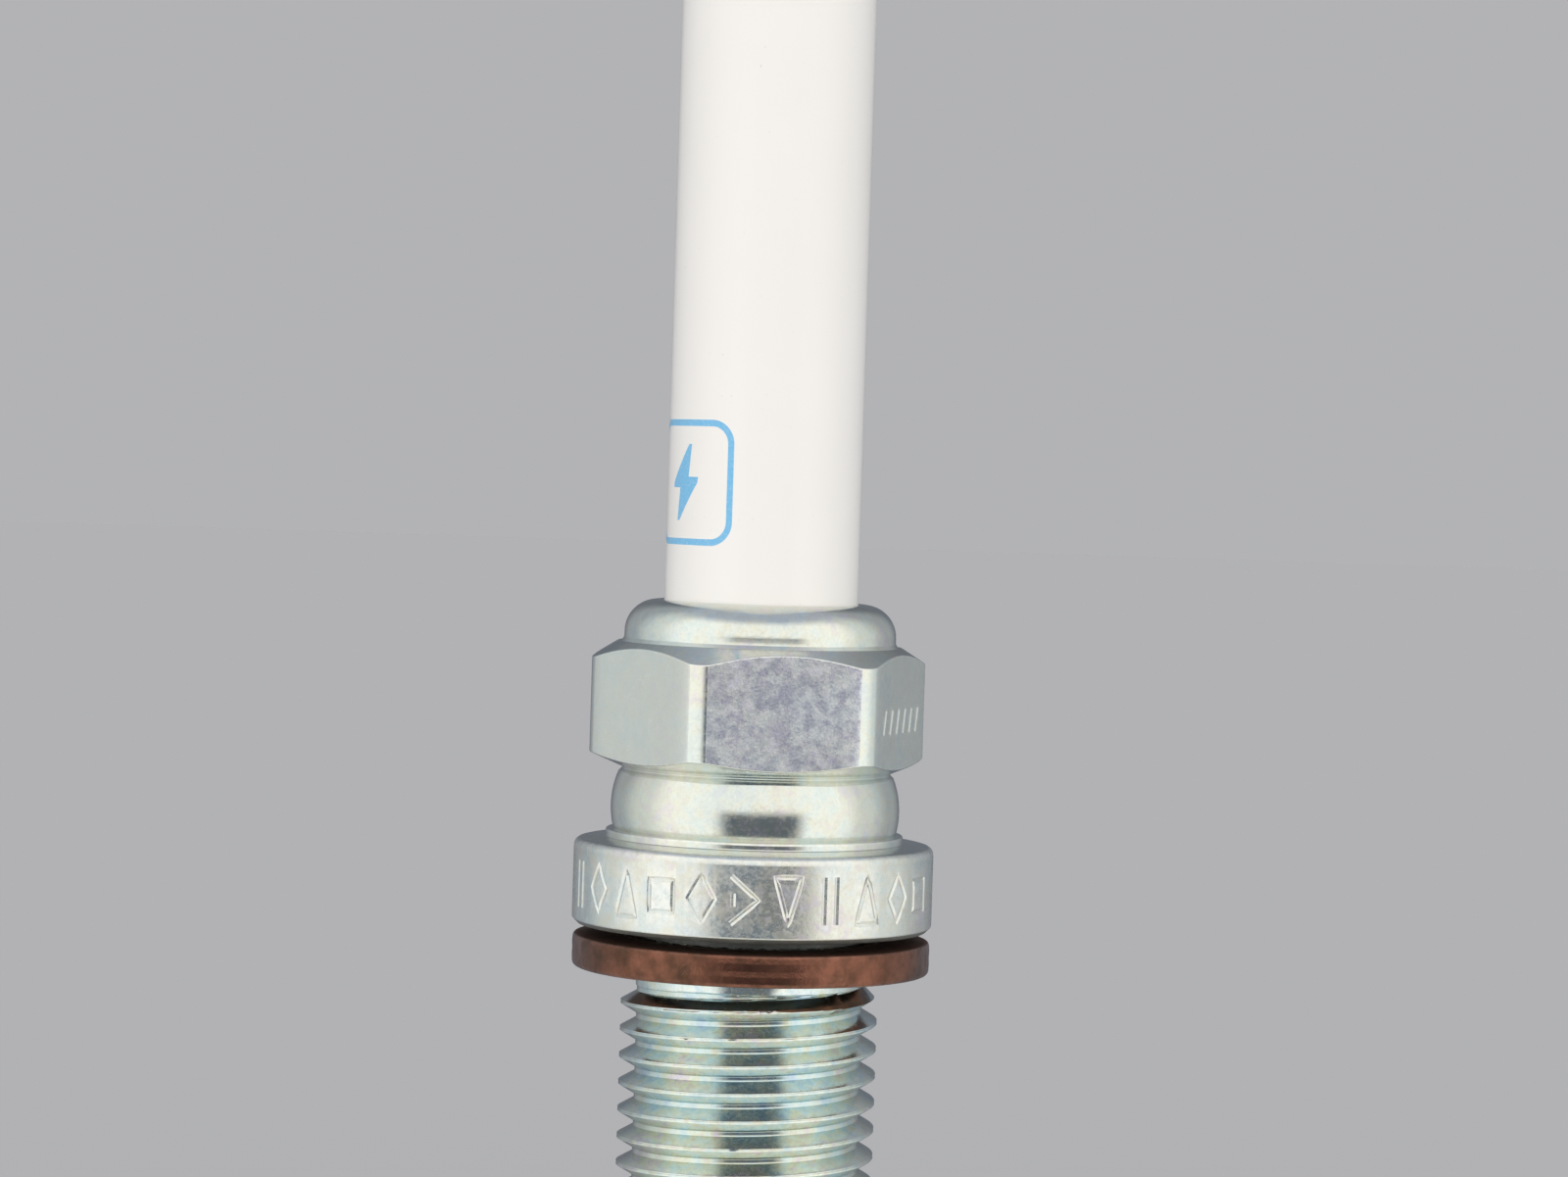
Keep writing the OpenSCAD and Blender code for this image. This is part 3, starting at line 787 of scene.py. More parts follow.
def colour(red: float, green: float, blue: float) -> tuple:
    """A linear colour with full alpha."""
    return (red, green, blue, 1.0)


# ---------------------------------------------------------------- finishes


@dataclass(frozen=True)
class ZincPlate:
    """Bright zinc plating with a thin clear film on steel."""

    name: str = "zinc_turned"
    base: tuple = (0.70, 0.73, 0.69)
    roughness: float = 0.1
    rough_spread: float = 0.07
    film_strength: float = 0.45
    grain: float = 0.0005
    grain_size: float = 0.25
    lines: float = 0.0005
    mottle: float = 0.16
    mottle_tone: tuple = (0.36, 0.37, 0.39)

    def build(self, effects: Effects) -> bpy.types.Material:
        """Makes the material.

        Args:
            effects: The shared shader groups.

        Returns:
            The finished material.
        """
        p = Palette(self.name, effects)
        wide = p.clouds(3.0, 0.3, 0.7, 3)
        fine = p.clouds(0.5, 0.3, 0.7, 4, 0.37)
        film = p.math("ADD", p.math("MULTIPLY", wide, 0.55), p.math("MULTIPLY", fine, 0.45))
        film_values = {"Base": colour(*self.base), "Film": film, "Strength": self.film_strength}
        tinted = p.use(effects.tint, film_values)
        dull = p.clouds(0.17, 0.46, 0.6, 5, 0.11)
        patch = p.clouds(0.6, 0.42, 0.62, 5, 0.66)
        speck = p.clouds(0.07, 0.4, 0.6, 2, 0.93)
        coarse = p.math("MULTIPLY_ADD", patch, 0.42, p.math("MULTIPLY", dull, 0.3))
        spotted = p.math("MULTIPLY", p.math("MULTIPLY_ADD", speck, 0.28, coarse), self.mottle)
        greyed = p.blend(spotted, tinted, colour(*self.mottle_tone))
        worn = p.use(effects.worn_edges, {"Amount": 0.45})
        marks = p.use(effects.scratches, {"Length": 1.6 * MM, "Amount": 0.5})
        bright = p.math("MAXIMUM", worn, p.math("MULTIPLY", marks, 0.4))
        p.set(Base_Color=p.blend(bright, greyed, colour(0.9, 0.9, 0.87)), Metallic=1.0)
        spread = p.math("MULTIPLY_ADD", fine, self.rough_spread, self.roughness)
        p.set(Roughness=p.math("ADD", spread, p.math("MULTIPLY", dull, 0.08)))
        turned = p.use(effects.tool_marks, {"Spacing": 0.09 * MM})
        pits = p.clouds(self.grain_size, 0.25, 0.75, 4, 0.2)
        p.bumps((turned, self.lines), (pits, self.grain), (marks, -0.001))
        return p.material


@dataclass(frozen=True)
class GlazedCeramic:
    """White alumina under a clear glaze, with a printed mark on one side."""

    name: str = "glazed_ceramic"
    base: tuple = (0.94, 0.915, 0.885)
    ink: tuple = (0.17, 0.52, 0.84)
    mark_angle: float = -145.0
    mark_height: float = 20.5
    mark_half: float = 2.72
    mark_corner: float = 0.95
    mark_line: float = 0.3
    bolt_reach: float = 1.75
    bolt_overlap: float = 0.25
    bolt_shift: float = 0.32
    bolt_slant: float = 0.42
    bolt_width: float = 0.62
    bolt_narrowing: float = 0.3
    roughness: float = 0.3

    def mark_mask(self, p: Palette, radius: float) -> bpy.types.NodeSocket:
        """Draws a bolt in a rounded frame.

        Args:
            p: The material's palette.
            radius: Radius of the printed surface, in millimetres.

        Returns:
            A mask that is 1 on the ink.
        """
        turn = (0, 0, -math.radians(self.mark_angle))
        turned = p.add("ShaderNodeMapping", {"Vector": p.place, "Rotation": turn})
        parts = p.add("ShaderNodeSeparateXYZ", {"Vector": turned.outputs[0]}).outputs
        u = p.math("MULTIPLY", p.math("ARCTAN2", parts["Y"], parts["X"]), radius)
        v = p.math("SUBTRACT", p.math("DIVIDE", parts["Z"], MM), self.mark_height)
        inner = self.mark_half - self.mark_corner
        du = p.math("MAXIMUM", p.math("SUBTRACT", p.math("ABSOLUTE", u), inner), 0.0)
        dv = p.math("MAXIMUM", p.math("SUBTRACT", p.math("ABSOLUTE", v), inner), 0.0)
        reach = p.math("SQRT", p.math("ADD", p.math("POWER", du, 2.0), p.math("POWER", dv, 2.0)))
        off_line = p.math("ABSOLUTE", p.math("SUBTRACT", reach, self.mark_corner))
        ring = p.math("LESS_THAN", off_line, self.mark_line / 2)
        upper = self.slanted_bar(p, u, v, -self.bolt_overlap, self.bolt_reach, self.bolt_shift)
        lower = self.slanted_bar(p, u, v, -self.bolt_reach, self.bolt_overlap, -self.bolt_shift)
        return p.math("MAXIMUM", ring, p.math("MAXIMUM", upper, lower))

    def slanted_bar(
        self, p: Palette, u: bpy.types.NodeSocket, v: bpy.types.NodeSocket,
        low: float, high: float, shift: float,
    ) -> bpy.types.NodeSocket:
        """Draws one half of the bolt, a slanted bar that narrows away from the middle.

        Args:
            p: The material's palette.
            u: Distance round the insulator from the mark's middle, in millimetres.
            v: Height above the mark's middle, in millimetres.
            low: Lowest v of the bar.
            high: Highest v of the bar.
            shift: How far the bar is moved sideways.

        Returns:
            A mask that is 1 on the bar.
        """
        centre = p.math("MULTIPLY_ADD", v, self.bolt_slant, -shift)
        width = p.math("MULTIPLY_ADD", p.math("ABSOLUTE", v), -self.bolt_narrowing, self.bolt_width)
        inside = p.math("LESS_THAN", p.math("ABSOLUTE", p.math("SUBTRACT", u, centre)), width)
        above = p.math("GREATER_THAN", v, low)
        below = p.math("LESS_THAN", v, high)
        return p.math("MULTIPLY", inside, p.math("MULTIPLY", above, below))

    def build(self, effects: Effects, radius: float) -> bpy.types.Material:
        """Makes the material.

        Args:
            effects: The shared shader groups.
            radius: Radius of the printed surface, in millimetres.

        Returns:
            The finished material.
        """
        p = Palette(self.name, effects)
        tone = p.clouds(6.0, 0.3, 0.7, 3)
        body = p.blend(p.math("MULTIPLY", tone, 0.5), colour(*self.base), colour(0.92, 0.895, 0.855))
        specks = p.clouds(0.12, 0.77, 0.82, 1, 0.5)
        speckled = p.blend(p.math("MULTIPLY", specks, 0.35), body, colour(0.42, 0.37, 0.3))
        mask = self.mark_mask(p, radius)
        patchy = p.math("MULTIPLY_ADD", p.clouds(0.1, 0.2, 0.6, 2, 0.8), 0.2, 0.8)
        printed = p.blend(p.math("MULTIPLY", mask, patchy), speckled, colour(*self.ink))
        p.set(Base_Color=printed, Roughness=p.math("MULTIPLY_ADD", mask, 0.12, self.roughness))
        p.set(Coat_Weight=0.35, Coat_Roughness=0.16, Coat_IOR=1.45, IOR=1.5)
        ripple = p.clouds(1.7, 0.2, 0.8, 2, 0.3)
        p.bumps((ripple, 0.0025))
        return p.material


@dataclass(frozen=True)
class BareMetal:
    """A metal with tool marks, clouds of a second colour and worn edges."""

    name: str
    base: tuple
    second: tuple
    roughness: float = 0.3
    cloud_size: float = 1.0
    cloud_share: float = 0.5
    film_strength: float = 0.0
    lines: float = 0.001
    grain: float = 0.001
    grain_size: float = 0.2
    wear: float = 0.5

    def build(self, effects: Effects) -> bpy.types.Material:
        """Makes the material.

        Args:
            effects: The shared shader groups.

        Returns:
            The finished material.
        """
        p = Palette(self.name, effects)
        wide = p.clouds(self.cloud_size * 3, 0.3, 0.7, 4, 0.13)
        fine = p.clouds(self.cloud_size, 0.32, 0.68, 4, 0.57)
        both = p.math("MULTIPLY_ADD", wide, 0.6, p.math("MULTIPLY", fine, 0.4))
        stain = p.math("MULTIPLY", both, self.cloud_share)
        body = p.blend(stain, colour(*self.base), colour(*self.second))
        tinted = p.use(effects.tint, {"Base": body, "Film": wide, "Strength": self.film_strength})
        worn = p.use(effects.worn_edges, {"Amount": self.wear})
        marks = p.use(effects.scratches, {"Length": 1.2 * MM, "Amount": 0.6})
        light = tuple(min(1.0, c * 1.35 + 0.08) for c in self.base)
        bright = p.math("MAXIMUM", worn, p.math("MULTIPLY", marks, 0.5))
        p.set(Base_Color=p.blend(bright, tinted, colour(*light)), Metallic=1.0)
        rough = p.math("MULTIPLY_ADD", fine, 0.14, self.roughness)
        p.set(Roughness=p.math("SUBTRACT", rough, p.math("MULTIPLY", bright, 0.08)))
        turned = p.use(effects.tool_marks, {"Spacing": 0.08 * MM})
        pits = p.clouds(self.grain_size, 0.25, 0.75, 4, 0.9)
        p.bumps((turned, self.lines), (pits, self.grain))
        return p.material


@dataclass(frozen=True)
class FiredMass:
    """Glass, carbon or powder pressed and fired in place."""

    name: str
    base: tuple
    second: tuple
    roughness: float
    speck_size: float
    coat: float = 0.0

    def build(self, effects: Effects) -> bpy.types.Material:
        """Makes the material.

        Args:
            effects: The shared shader groups.

        Returns:
            The finished material.
        """
        p = Palette(self.name, effects)
        specks = p.clouds(self.speck_size, 0.52, 0.62, 2, 0.21)
        wide = p.clouds(self.speck_size * 12, 0.3, 0.7, 3, 0.4)
        share = p.math("MULTIPLY_ADD", wide, 0.25, p.math("MULTIPLY", specks, 0.6))
        p.set(Base_Color=p.blend(share, colour(*self.base), colour(*self.second)), Coat_Weight=self.coat)
        p.set(Roughness=p.math("MULTIPLY_ADD", specks, 0.2, self.roughness))
        p.bumps((p.clouds(self.speck_size * 1.5, 0.2, 0.8, 4, 0.7), 0.008))
        return p.material


class Finishes:
    """Every finish of the plug, made once."""

    def __init__(self, effects: Effects) -> None:
        """Makes the materials.

        Args:
            effects: The shared shader groups.
        """
        self.zinc = ZincPlate().build(effects)
        self.forged_zinc = ZincPlate(
            "zinc_forged", base=(0.64, 0.67, 0.65), roughness=0.33, rough_spread=0.06, film_strength=0.2,
            grain=0.0025, grain_size=0.25, lines=0.0, mottle=0.18, mottle_tone=(0.5, 0.52, 0.52),
        ).build(effects)
        self.mottled_zinc = ZincPlate(
            "zinc_mottled", base=(0.8, 0.84, 0.86), roughness=0.3, rough_spread=0.14, film_strength=0.25,
            grain=0.004, grain_size=0.14, lines=0.0, mottle=1.0, mottle_tone=(0.38, 0.38, 0.5),
        ).build(effects)
        self.rolled_zinc = ZincPlate(
            "zinc_rolled", base=(0.64, 0.71, 0.70), roughness=0.12, rough_spread=0.08, film_strength=0.95,
            grain=0.0007, grain_size=0.3, lines=0.0004,
        ).build(effects)
        self.ceramic = GlazedCeramic().build(effects, 4.5)
        self.nickel_plate = BareMetal(
            "nickel_plate", (0.66, 0.64, 0.59), (0.5, 0.47, 0.41), roughness=0.2, lines=0.002, wear=0.4,
        ).build(effects)
        self.nickel_alloy = BareMetal(
            "nickel_alloy", (0.5, 0.48, 0.44), (0.33, 0.31, 0.28), roughness=0.3, grain=0.004, wear=0.6,
        ).build(effects)
        self.weld = BareMetal(
            "weld_metal", (0.4, 0.37, 0.33), (0.16, 0.15, 0.2), roughness=0.32, cloud_size=0.35,
            cloud_share=0.9, film_strength=0.9, lines=0.0, grain=0.01, grain_size=0.3,
        ).build(effects)
        self.noble = BareMetal(
            "noble_metal", (0.62, 0.62, 0.62), (0.5, 0.5, 0.5), roughness=0.22, cloud_size=0.3, wear=0.3,
        ).build(effects)
        self.bright_copper = BareMetal(
            "bright_copper", (0.83, 0.42, 0.27), (0.62, 0.28, 0.17), roughness=0.25, cloud_size=0.6,
        ).build(effects)
        self.plain_steel = BareMetal(
            "plain_steel", (0.5, 0.49, 0.47), (0.3, 0.27, 0.24), roughness=0.35, cloud_size=0.5,
        ).build(effects)
        self.copper = BareMetal(
            "tarnished_copper", (0.24, 0.1, 0.066), (0.07, 0.042, 0.028), roughness=0.25, cloud_size=0.7,
            cloud_share=1.0, lines=0.001, grain=0.005, grain_size=0.2, wear=0.25,
        ).build(effects)
        # Painted shade: a darker copper for the gasket's top face and bore, which sit in the shaded gap under
        # the flange and round the neck.
        self.gap_shade_copper = BareMetal(
            "unpolished_copper", (0.15, 0.08, 0.055), (0.07, 0.04, 0.03), roughness=0.5, cloud_size=0.5,
            grain=0.004, wear=0.0,
        ).build(effects)
        # Painted shade: a dark zinc for the seat face under the flange and the neck's top, which sit in the
        # shaded gap above the gasket.
        self.gap_shade_zinc = ZincPlate(
            "zinc_seat", base=(0.2, 0.21, 0.2), roughness=0.4, film_strength=0.2, grain=0.001, lines=0.001,
        ).build(effects)
        self.flange_zinc = ZincPlate(
            "zinc_flange", base=(0.69, 0.71, 0.69), roughness=0.23, rough_spread=0.08, film_strength=0.5,
            grain=0.0016, grain_size=0.2, mottle=0.12,
        ).build(effects)
        self.seal_glass = FiredMass(
            "seal_glass", (0.05, 0.05, 0.045), (0.25, 0.12, 0.07), 0.3, 0.09, 0.6,
        ).build(effects)
        self.resistor_glass = FiredMass(
            "resistor_glass", (0.03, 0.028, 0.03), (0.12, 0.12, 0.13), 0.45, 0.11,
        ).build(effects)
        self.talc = FiredMass("talc", (0.72, 0.68, 0.6), (0.55, 0.5, 0.43), 0.85, 0.14).build(effects)


# ---------------------------------------------------------------- shell


@dataclass
class Shell:
    """Plated steel shell: rolled thread, stamped seat flange, buckled wall, hexagon and crimped collar."""

    finishes: Finishes
    thread_r: float = 5.975
    pitch: float = 1.25
    first_crest: float = -3.35
    thread_top: float = -2.62
    thread_low: float = -25.25
    neck_r: float = 5.3
    # Height on the neck where the painted shade of the gap above the gasket begins.
    gap_shade_from: float = -0.5
    rolled_from: float = -1.0
    pilot_r: float = 5.125
    pilot_chamfer: float = 0.4
    seam_depth: float = 0.035
    flange_h: float = 3.9
    flange_chamfer: float = 0.25
    lip_r: float = 6.9
    lip_foot: float = 4.05
    lip_top: float = 4.4
    bulge_centre: tuple = (2.5, 5.4545)
    bulge_curve: float = 4.2
    bulge_top: float = 7.05
    hex_z: float = 7.25
    hex_top: float = 13.1
    hex_af: float = 14.0
    hex_turn: float = 10.0
    corner_r: float = 7.823
    chamfer_low_r: float = 6.174
    chamfer_up_r: float = 6.591
    slope_low: float = 23.0
    slope_up: float = 32.0
    collar_r: float = 6.3
    fold_c: float = 4.8
    fold_z: float = 13.55
    fold_r: float = 1.5
    inner_fold_r: float = 0.5
    crimp_r: float = 4.58
    cavity_r: float = 5.3
    bore_r: float = 3.8
    ledge_r: float = 3.05
    mouth_r: float = 3.55
    mark_low: float = 0.88
    mark_high: float = 3.03
    mark_width: float = 0.26
    mark_depth: float = 0.055
    flat_rows: int = 14
    mottled_flats: tuple = (1, 4)
    ticked_flat: int = -1
    tick_low: float = 9.3
    tick_high: float = 10.4
    tick_lean: float = 0.15
    tick_spacing: float = 0.9
    tick_count: int = 6
    mark_spacing: float = 1.98
    mark_groups: tuple = ((-92, 11), (88, 7))
    mark_order: tuple = (2, 0, 1, 4, 0, 3, 5, 2, 1, 0, 4, 5, 0, 2)
    stroke_step: float = 0.3
    cavity_foot: float = 1.85
    wall_swell: float = 0.35
    bore_low: float = -15.0
    ledge_top: float = -15.75
    ledge_low: float = -17.35
    mouth_top: float = -17.85

    def __post_init__(self) -> None:
        """Takes the overall sizes from the frame."""
        low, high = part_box("shell")
        self.flange_r = high.x / MM
        self.end_z = low.z / MM
        self.collar_top = high.z / MM
        self.root_r = self.thread_r - 0.6 * self.pitch
        self.flat_angles, self.columns = self.column_angles()

    def column_angles(self) -> tuple[np.ndarray, np.ndarray]:
        """Finds the angles of the mesh's columns, with more of them at the hexagon's edges.

        Returns:
            The angle of each column from the middle of its flat, and its angle round the axis, in radians.
        """
        edge = math.degrees(math.acos(self.hex_af / 2 / self.corner_r))
        side = [edge - 0.35, edge, edge + 0.35, edge + 1.1, edge + 2.3]
        sector = [*np.linspace(0.5 - edge, edge - 0.5, 21), *side, 30.0]
        sector += [60.0 - a for a in reversed(side)]
        from_flat = [a if a <= 30 else a - 60 for _ in range(6) for a in sector]
        turned = [self.hex_turn + 30 + 60 * k + a for k in range(6) for a in sector]
        return np.radians(from_flat), np.radians(turned)

    def thread(self) -> bpy.types.Object:
        """Rolls the thread as an open sheet between the neck and the pilot.

        Returns:
            The sheet, with a ring of points at each end.
        """
        crest = self.pitch / 16
        root = self.pitch / 2 - crest - 0.6 * self.pitch * math.tan(math.radians(30))
        half = self.pitch / 2
        ridge = [
            (self.root_r, -half, 0), (self.root_r, root - half, 0.13), (self.thread_r, -crest, 0.03),
            (self.thread_r - self.seam_depth, 0, 0), (self.thread_r, crest, 0.03),
            (self.root_r, half - root, 0.13), (self.root_r, half, 0),
        ]
        profile = outline(ridge, steps=2, support=0)
        start = self.first_crest + self.pitch / 4
        turns = math.ceil((self.thread_top - self.thread_low) / self.pitch) + 3
        line = []
        for k in range(-turns + 2, 3):
            for r, z in profile[:-1]:
                seam = 1.0 if abs(z) < crest / 2 else 0.0
                line.append((r, seam / MM, start + k * self.pitch + z))
        base = new_mesh_object("thread", line, [(i, i + 1) for i in range(len(line) - 1)], [])
        values = {
            "Segments": len(self.columns), "Material": self.finishes.rolled_zinc, "Lead": self.pitch * MM,
            "Low": self.thread_low * MM, "High": self.thread_top * MM, "Neck": self.neck_r * MM,
            "Pilot": self.pilot_r * MM, "Slope": 1.0, "Ragged": 0.12 * MM,
        }
        return grow(base, LATHE_TREES["threaded"], values)

    def corners(self) -> tuple[np.ndarray, list[float]]:
        """Lists the outline from the thread's top over the outside, through the bore and back to the thread.

        Returns:
            The corner points for every column, and their fillet radii.
        """
        bulge_x, bulge_z = self.bulge_centre
        bulge_low = -math.degrees(math.asin((bulge_z - self.lip_top) / self.bulge_curve))
        bulge_high = math.degrees(math.asin((self.bulge_top - bulge_z) / self.bulge_curve))
        flat_r = self.hex_af / 2 / np.cos(self.flat_angles)
        softness = 0.012
        gap = flat_r - self.corner_r
        side = 0.5 * (flat_r + self.corner_r - np.sqrt(gap**2 + softness))
        low_z = self.hex_z + (side - self.chamfer_low_r) * math.tan(math.radians(self.slope_low))
        high_z = self.hex_top - (side - self.chamfer_up_r) * math.tan(math.radians(self.slope_up))
        slope = self.cavity_r - self.bore_r
        points = [
            # The neck's second row ends the painted shade band of the gap.
            (self.neck_r, self.thread_top, 0), (self.neck_r, self.gap_shade_from, 0), (self.neck_r, 0, 0.12),
            (self.flange_r - self.flange_chamfer, 0, 0.06), (self.flange_r, self.flange_chamfer, 0.12),
            (self.flange_r, self.flange_h, 0.42), (self.lip_r, self.lip_foot, 0.06),
            (self.lip_r, self.lip_top, 0.12),
            *arc(bulge_x, bulge_z, self.bulge_curve, bulge_low, bulge_high, 22),
            (self.chamfer_low_r, self.hex_z, 0.08), (side, low_z, 0.1),
            *((side, low_z + (high_z - low_z) * k / self.flat_rows, 0) for k in range(1, self.flat_rows)),
            (side, high_z, 0.1),
            (self.chamfer_up_r, self.hex_top, 0.06), (self.collar_r + 0.2, self.hex_top, 0),
            (self.collar_r + 0.16, self.hex_top - 0.1, 0.02), (self.collar_r + 0.12, self.hex_top, 0.04),
            (self.collar_r + 0.01, self.hex_top + 0.17, 0.12), (self.collar_r, self.hex_top + 0.3, 0),
            *arc(self.fold_c, self.fold_z, self.fold_r, 0, 90, 16),
            (self.crimp_r, self.collar_top, 0.08), (self.crimp_r, self.fold_z + self.inner_fold_r, 0),
            *arc(self.fold_c, self.fold_z, self.inner_fold_r, 90, 0, 4),
            (self.cavity_r, self.bulge_top, 0), (self.cavity_r + self.wall_swell, bulge_z + 0.7, 0),
            (self.cavity_r + self.wall_swell, bulge_z - 0.5, 0), (self.cavity_r, self.lip_top + 0.2, 0),
            (self.cavity_r, self.cavity_foot, 0), (self.bore_r, self.cavity_foot - slope, 0),
            (self.bore_r, self.bore_low, 0), (self.ledge_r, self.ledge_top, 0),
            (self.ledge_r, self.ledge_low, 0), (self.mouth_r, self.mouth_top, 0),
            (self.mouth_r, self.end_z, 0.1), (self.pilot_r - self.pilot_chamfer, self.end_z, 0.05),
            (self.pilot_r, self.end_z + self.pilot_chamfer, 0.06), (self.pilot_r, self.thread_low, 0),
        ]
        every = np.ones(len(self.columns))
        places = np.array([np.stack([r * every, z * every], -1) for r, z, _ in points])
        return places, [fillet for _, _, fillet in points]

    def body(self) -> bpy.types.Object:
        """Makes everything of the shell but the thread, as an open sheet.

        Returns:
            The sheet, which meets the thread's end rings.
        """
        points, radii = self.corners()
        rows = rounded(points, radii, steps=4)
        count = len(self.columns)
        even = np.arange(count) * math.tau / count
        angles = np.tile(self.columns, (len(rows), 1))
        angles[0], angles[-1] = even, even
        first = int(np.argmin(np.abs((even - self.columns[0] + math.pi) % math.tau - math.pi)))
        angles[0], angles[-1] = np.roll(even, -first), np.roll(even, -first)
        r, z = rows[:, :, 0], rows[:, :, 1]
        places = np.stack([r * np.cos(angles), r * np.sin(angles), z], -1).reshape(-1, 3)
        faces = []
        for i in range(len(rows) - 1):
            for j in range(count):
                here, beside = i * count + j, i * count + (j + 1) % count
                faces.append((here, beside, beside + count, here + count))
        return new_mesh_object("body", places, [], faces)

    def mark_strokes(self) -> list[np.ndarray]:
        """Lists the stamped strokes, as lines of (distance along the flange, height) points.

        Returns:
            Diamonds, triangles, squares, arrows and double bars in two rows along the flange.
        """
        low, high = self.mark_low, self.mark_high
        middle, half = (low + high) / 2, 0.62
        foot, head, inset = low + 0.35, high - 0.35, 0.1 - half
        glyphs = [
            [[(-half, middle), (0, high), (half, middle), (0, low), (-half, middle)]],
            [[(-half, low), (0, high), (half, low), (-half, low)]],
            [[(-0.3, low), (-0.3, high)], [(0.3, low), (0.3, high)]],
            [[(-half, low), (half, middle), (-half, high)], [(inset, middle - 0.3), (inset, middle + 0.3)]],
            [[(-half, foot), (half, foot), (half, head), (-half, head), (-half, foot)]],
            [[(-half, high), (0, low), (half, high), (-half, high)]],
        ]
        strokes = []
        for group_angle, count in self.mark_groups:
            for k in range(count):
                aside = (k - (count - 1) / 2) * self.mark_spacing
                centre = math.radians(group_angle) * self.flange_r + aside
                strokes += [np.array(line) + (centre, 0) for line in glyphs[self.mark_order[k]]]
        return strokes

    def on_flange(self, s: float, z: float) -> tuple[tuple, tuple]:
        """Finds a place on the flange's side.

        Args:
            s: Distance along the side, in millimetres.
            z: Height.

        Returns:
            The point and the outward direction there.
        """
        angle = s / self.flange_r
        out = (math.cos(angle), math.sin(angle), 0.0)
        return (out[0] * self.flange_r, out[1] * self.flange_r, z), out

    def on_flat(self, s: float, z: float) -> tuple[tuple, tuple]:
        """Finds a place on the hexagon's ticked flat.

        Args:
            s: Distance from the flat's middle, in millimetres.
            z: Height.

        Returns:
            The point and the outward direction there.
        """
        flat = math.radians(self.hex_turn + 30 + 60 * self.ticked_flat)
        out = (math.cos(flat), math.sin(flat), 0.0)
        across = (-math.sin(flat), math.cos(flat))
        reach = self.hex_af / 2
        return (out[0] * reach + across[0] * s, out[1] * reach + across[1] * s, z), out

    def cut_up(self, line: np.ndarray) -> tuple[list[np.ndarray], bool]:
        """Cuts a stroke into short parts, so that it can follow a curved side.

        Args:
            line: The stroke's corners.

        Returns:
            The points along the stroke, and whether it closes on itself.
        """
        closed = bool(np.allclose(line[0], line[-1]))
        run = []
        for a, b in zip(line[:-1], line[1:]):
            parts = max(1, round(float(np.linalg.norm(b - a)) / self.stroke_step))
            run += [a + (b - a) * i / parts for i in range(parts)]
        return run + ([] if closed else [line[-1]]), closed

    def stroke_lines(self) -> bpy.types.Object:
        """Lays the stamped strokes on the flange and the short ticks on a flat of the hexagon.

        Returns:
            An object whose edges are the strokes, with the outward direction at each point.
        """
        points, edges, outs = [], [], []
        middle = (self.tick_count - 1) / 2
        strokes = [(line, self.on_flange) for line in self.mark_strokes()]
        for k in range(self.tick_count):
            s = self.tick_spacing * (k - middle)
            tick = np.array([(s - self.tick_lean, self.tick_low), (s + self.tick_lean, self.tick_high)])
            strokes.append((tick, self.on_flat))
        for line, place in strokes:
            first = len(points)
            run, closed = self.cut_up(line)
            for s, z in run:
                point, out = place(s, z)
                points.append(point)
                outs.append(out)
            edges += [(first + i, first + i + 1) for i in range(len(run) - 1)]
            if closed:
                edges.append((first + len(run) - 1, first))
        lines = new_mesh_object("stamp_lines", points, edges, [])
        layer = lines.data.attributes.new("out", "FLOAT_VECTOR", "POINT")
        layer.data.foreach_set("vector", np.array(outs, np.float32).ravel())
        return lines

    def build(self) -> bpy.types.Object:
        """Joins the thread and the body, stamps the marks and gives each zone its finish.

        Returns:
            The shell as one closed mesh.
        """
        thread, body = self.thread(), self.body()
        whole = bmesh.new()
        whole.from_mesh(thread.data)
        whole.from_mesh(body.data)
        bmesh.ops.remove_doubles(whole, verts=whole.verts, dist=WELD_DISTANCE * 5)
        bmesh.ops.dissolve_degenerate(whole, edges=whole.edges, dist=WELD_DISTANCE)
        bmesh.ops.recalc_face_normals(whole, faces=whole.faces)
        loose = sum(not edge.is_manifold for edge in whole.edges)
        LOG.info("shell before stamping: %d open edges", loose)
        shell = new_mesh_object("threaded_shell", [], [], [])
        whole.to_mesh(shell.data)
        whole.free()
        bpy.data.objects.remove(thread)
        bpy.data.objects.remove(body)
        lines = self.stroke_lines()
        values = {
            "Lines": lines, "Width": self.mark_width * MM, "Depth": self.mark_depth * MM,
            "Material": self.finishes.flange_zinc,
        }
        before = len(shell.data.polygons)
        grow(shell, stamping_tree(), values)
        LOG.info("stamping changed %d faces to %d", before, len(shell.data.polygons))
        bpy.data.objects.remove(lines)
        finishes = self.finishes
        coats = {
            Zone.TURNED: finishes.zinc, Zone.FORGED: finishes.forged_zinc, Zone.ROLLED: finishes.rolled_zinc,
            Zone.SEAT: finishes.gap_shade_zinc, Zone.FLANGE: finishes.flange_zinc,
            Zone.MOTTLED: finishes.mottled_zinc,
        }
        dress(shell, [coats[zone] for zone in Zone])
        for face in shell.data.polygons:
            face.material_index = self.zone(face.center / MM, face.normal)
        return shell

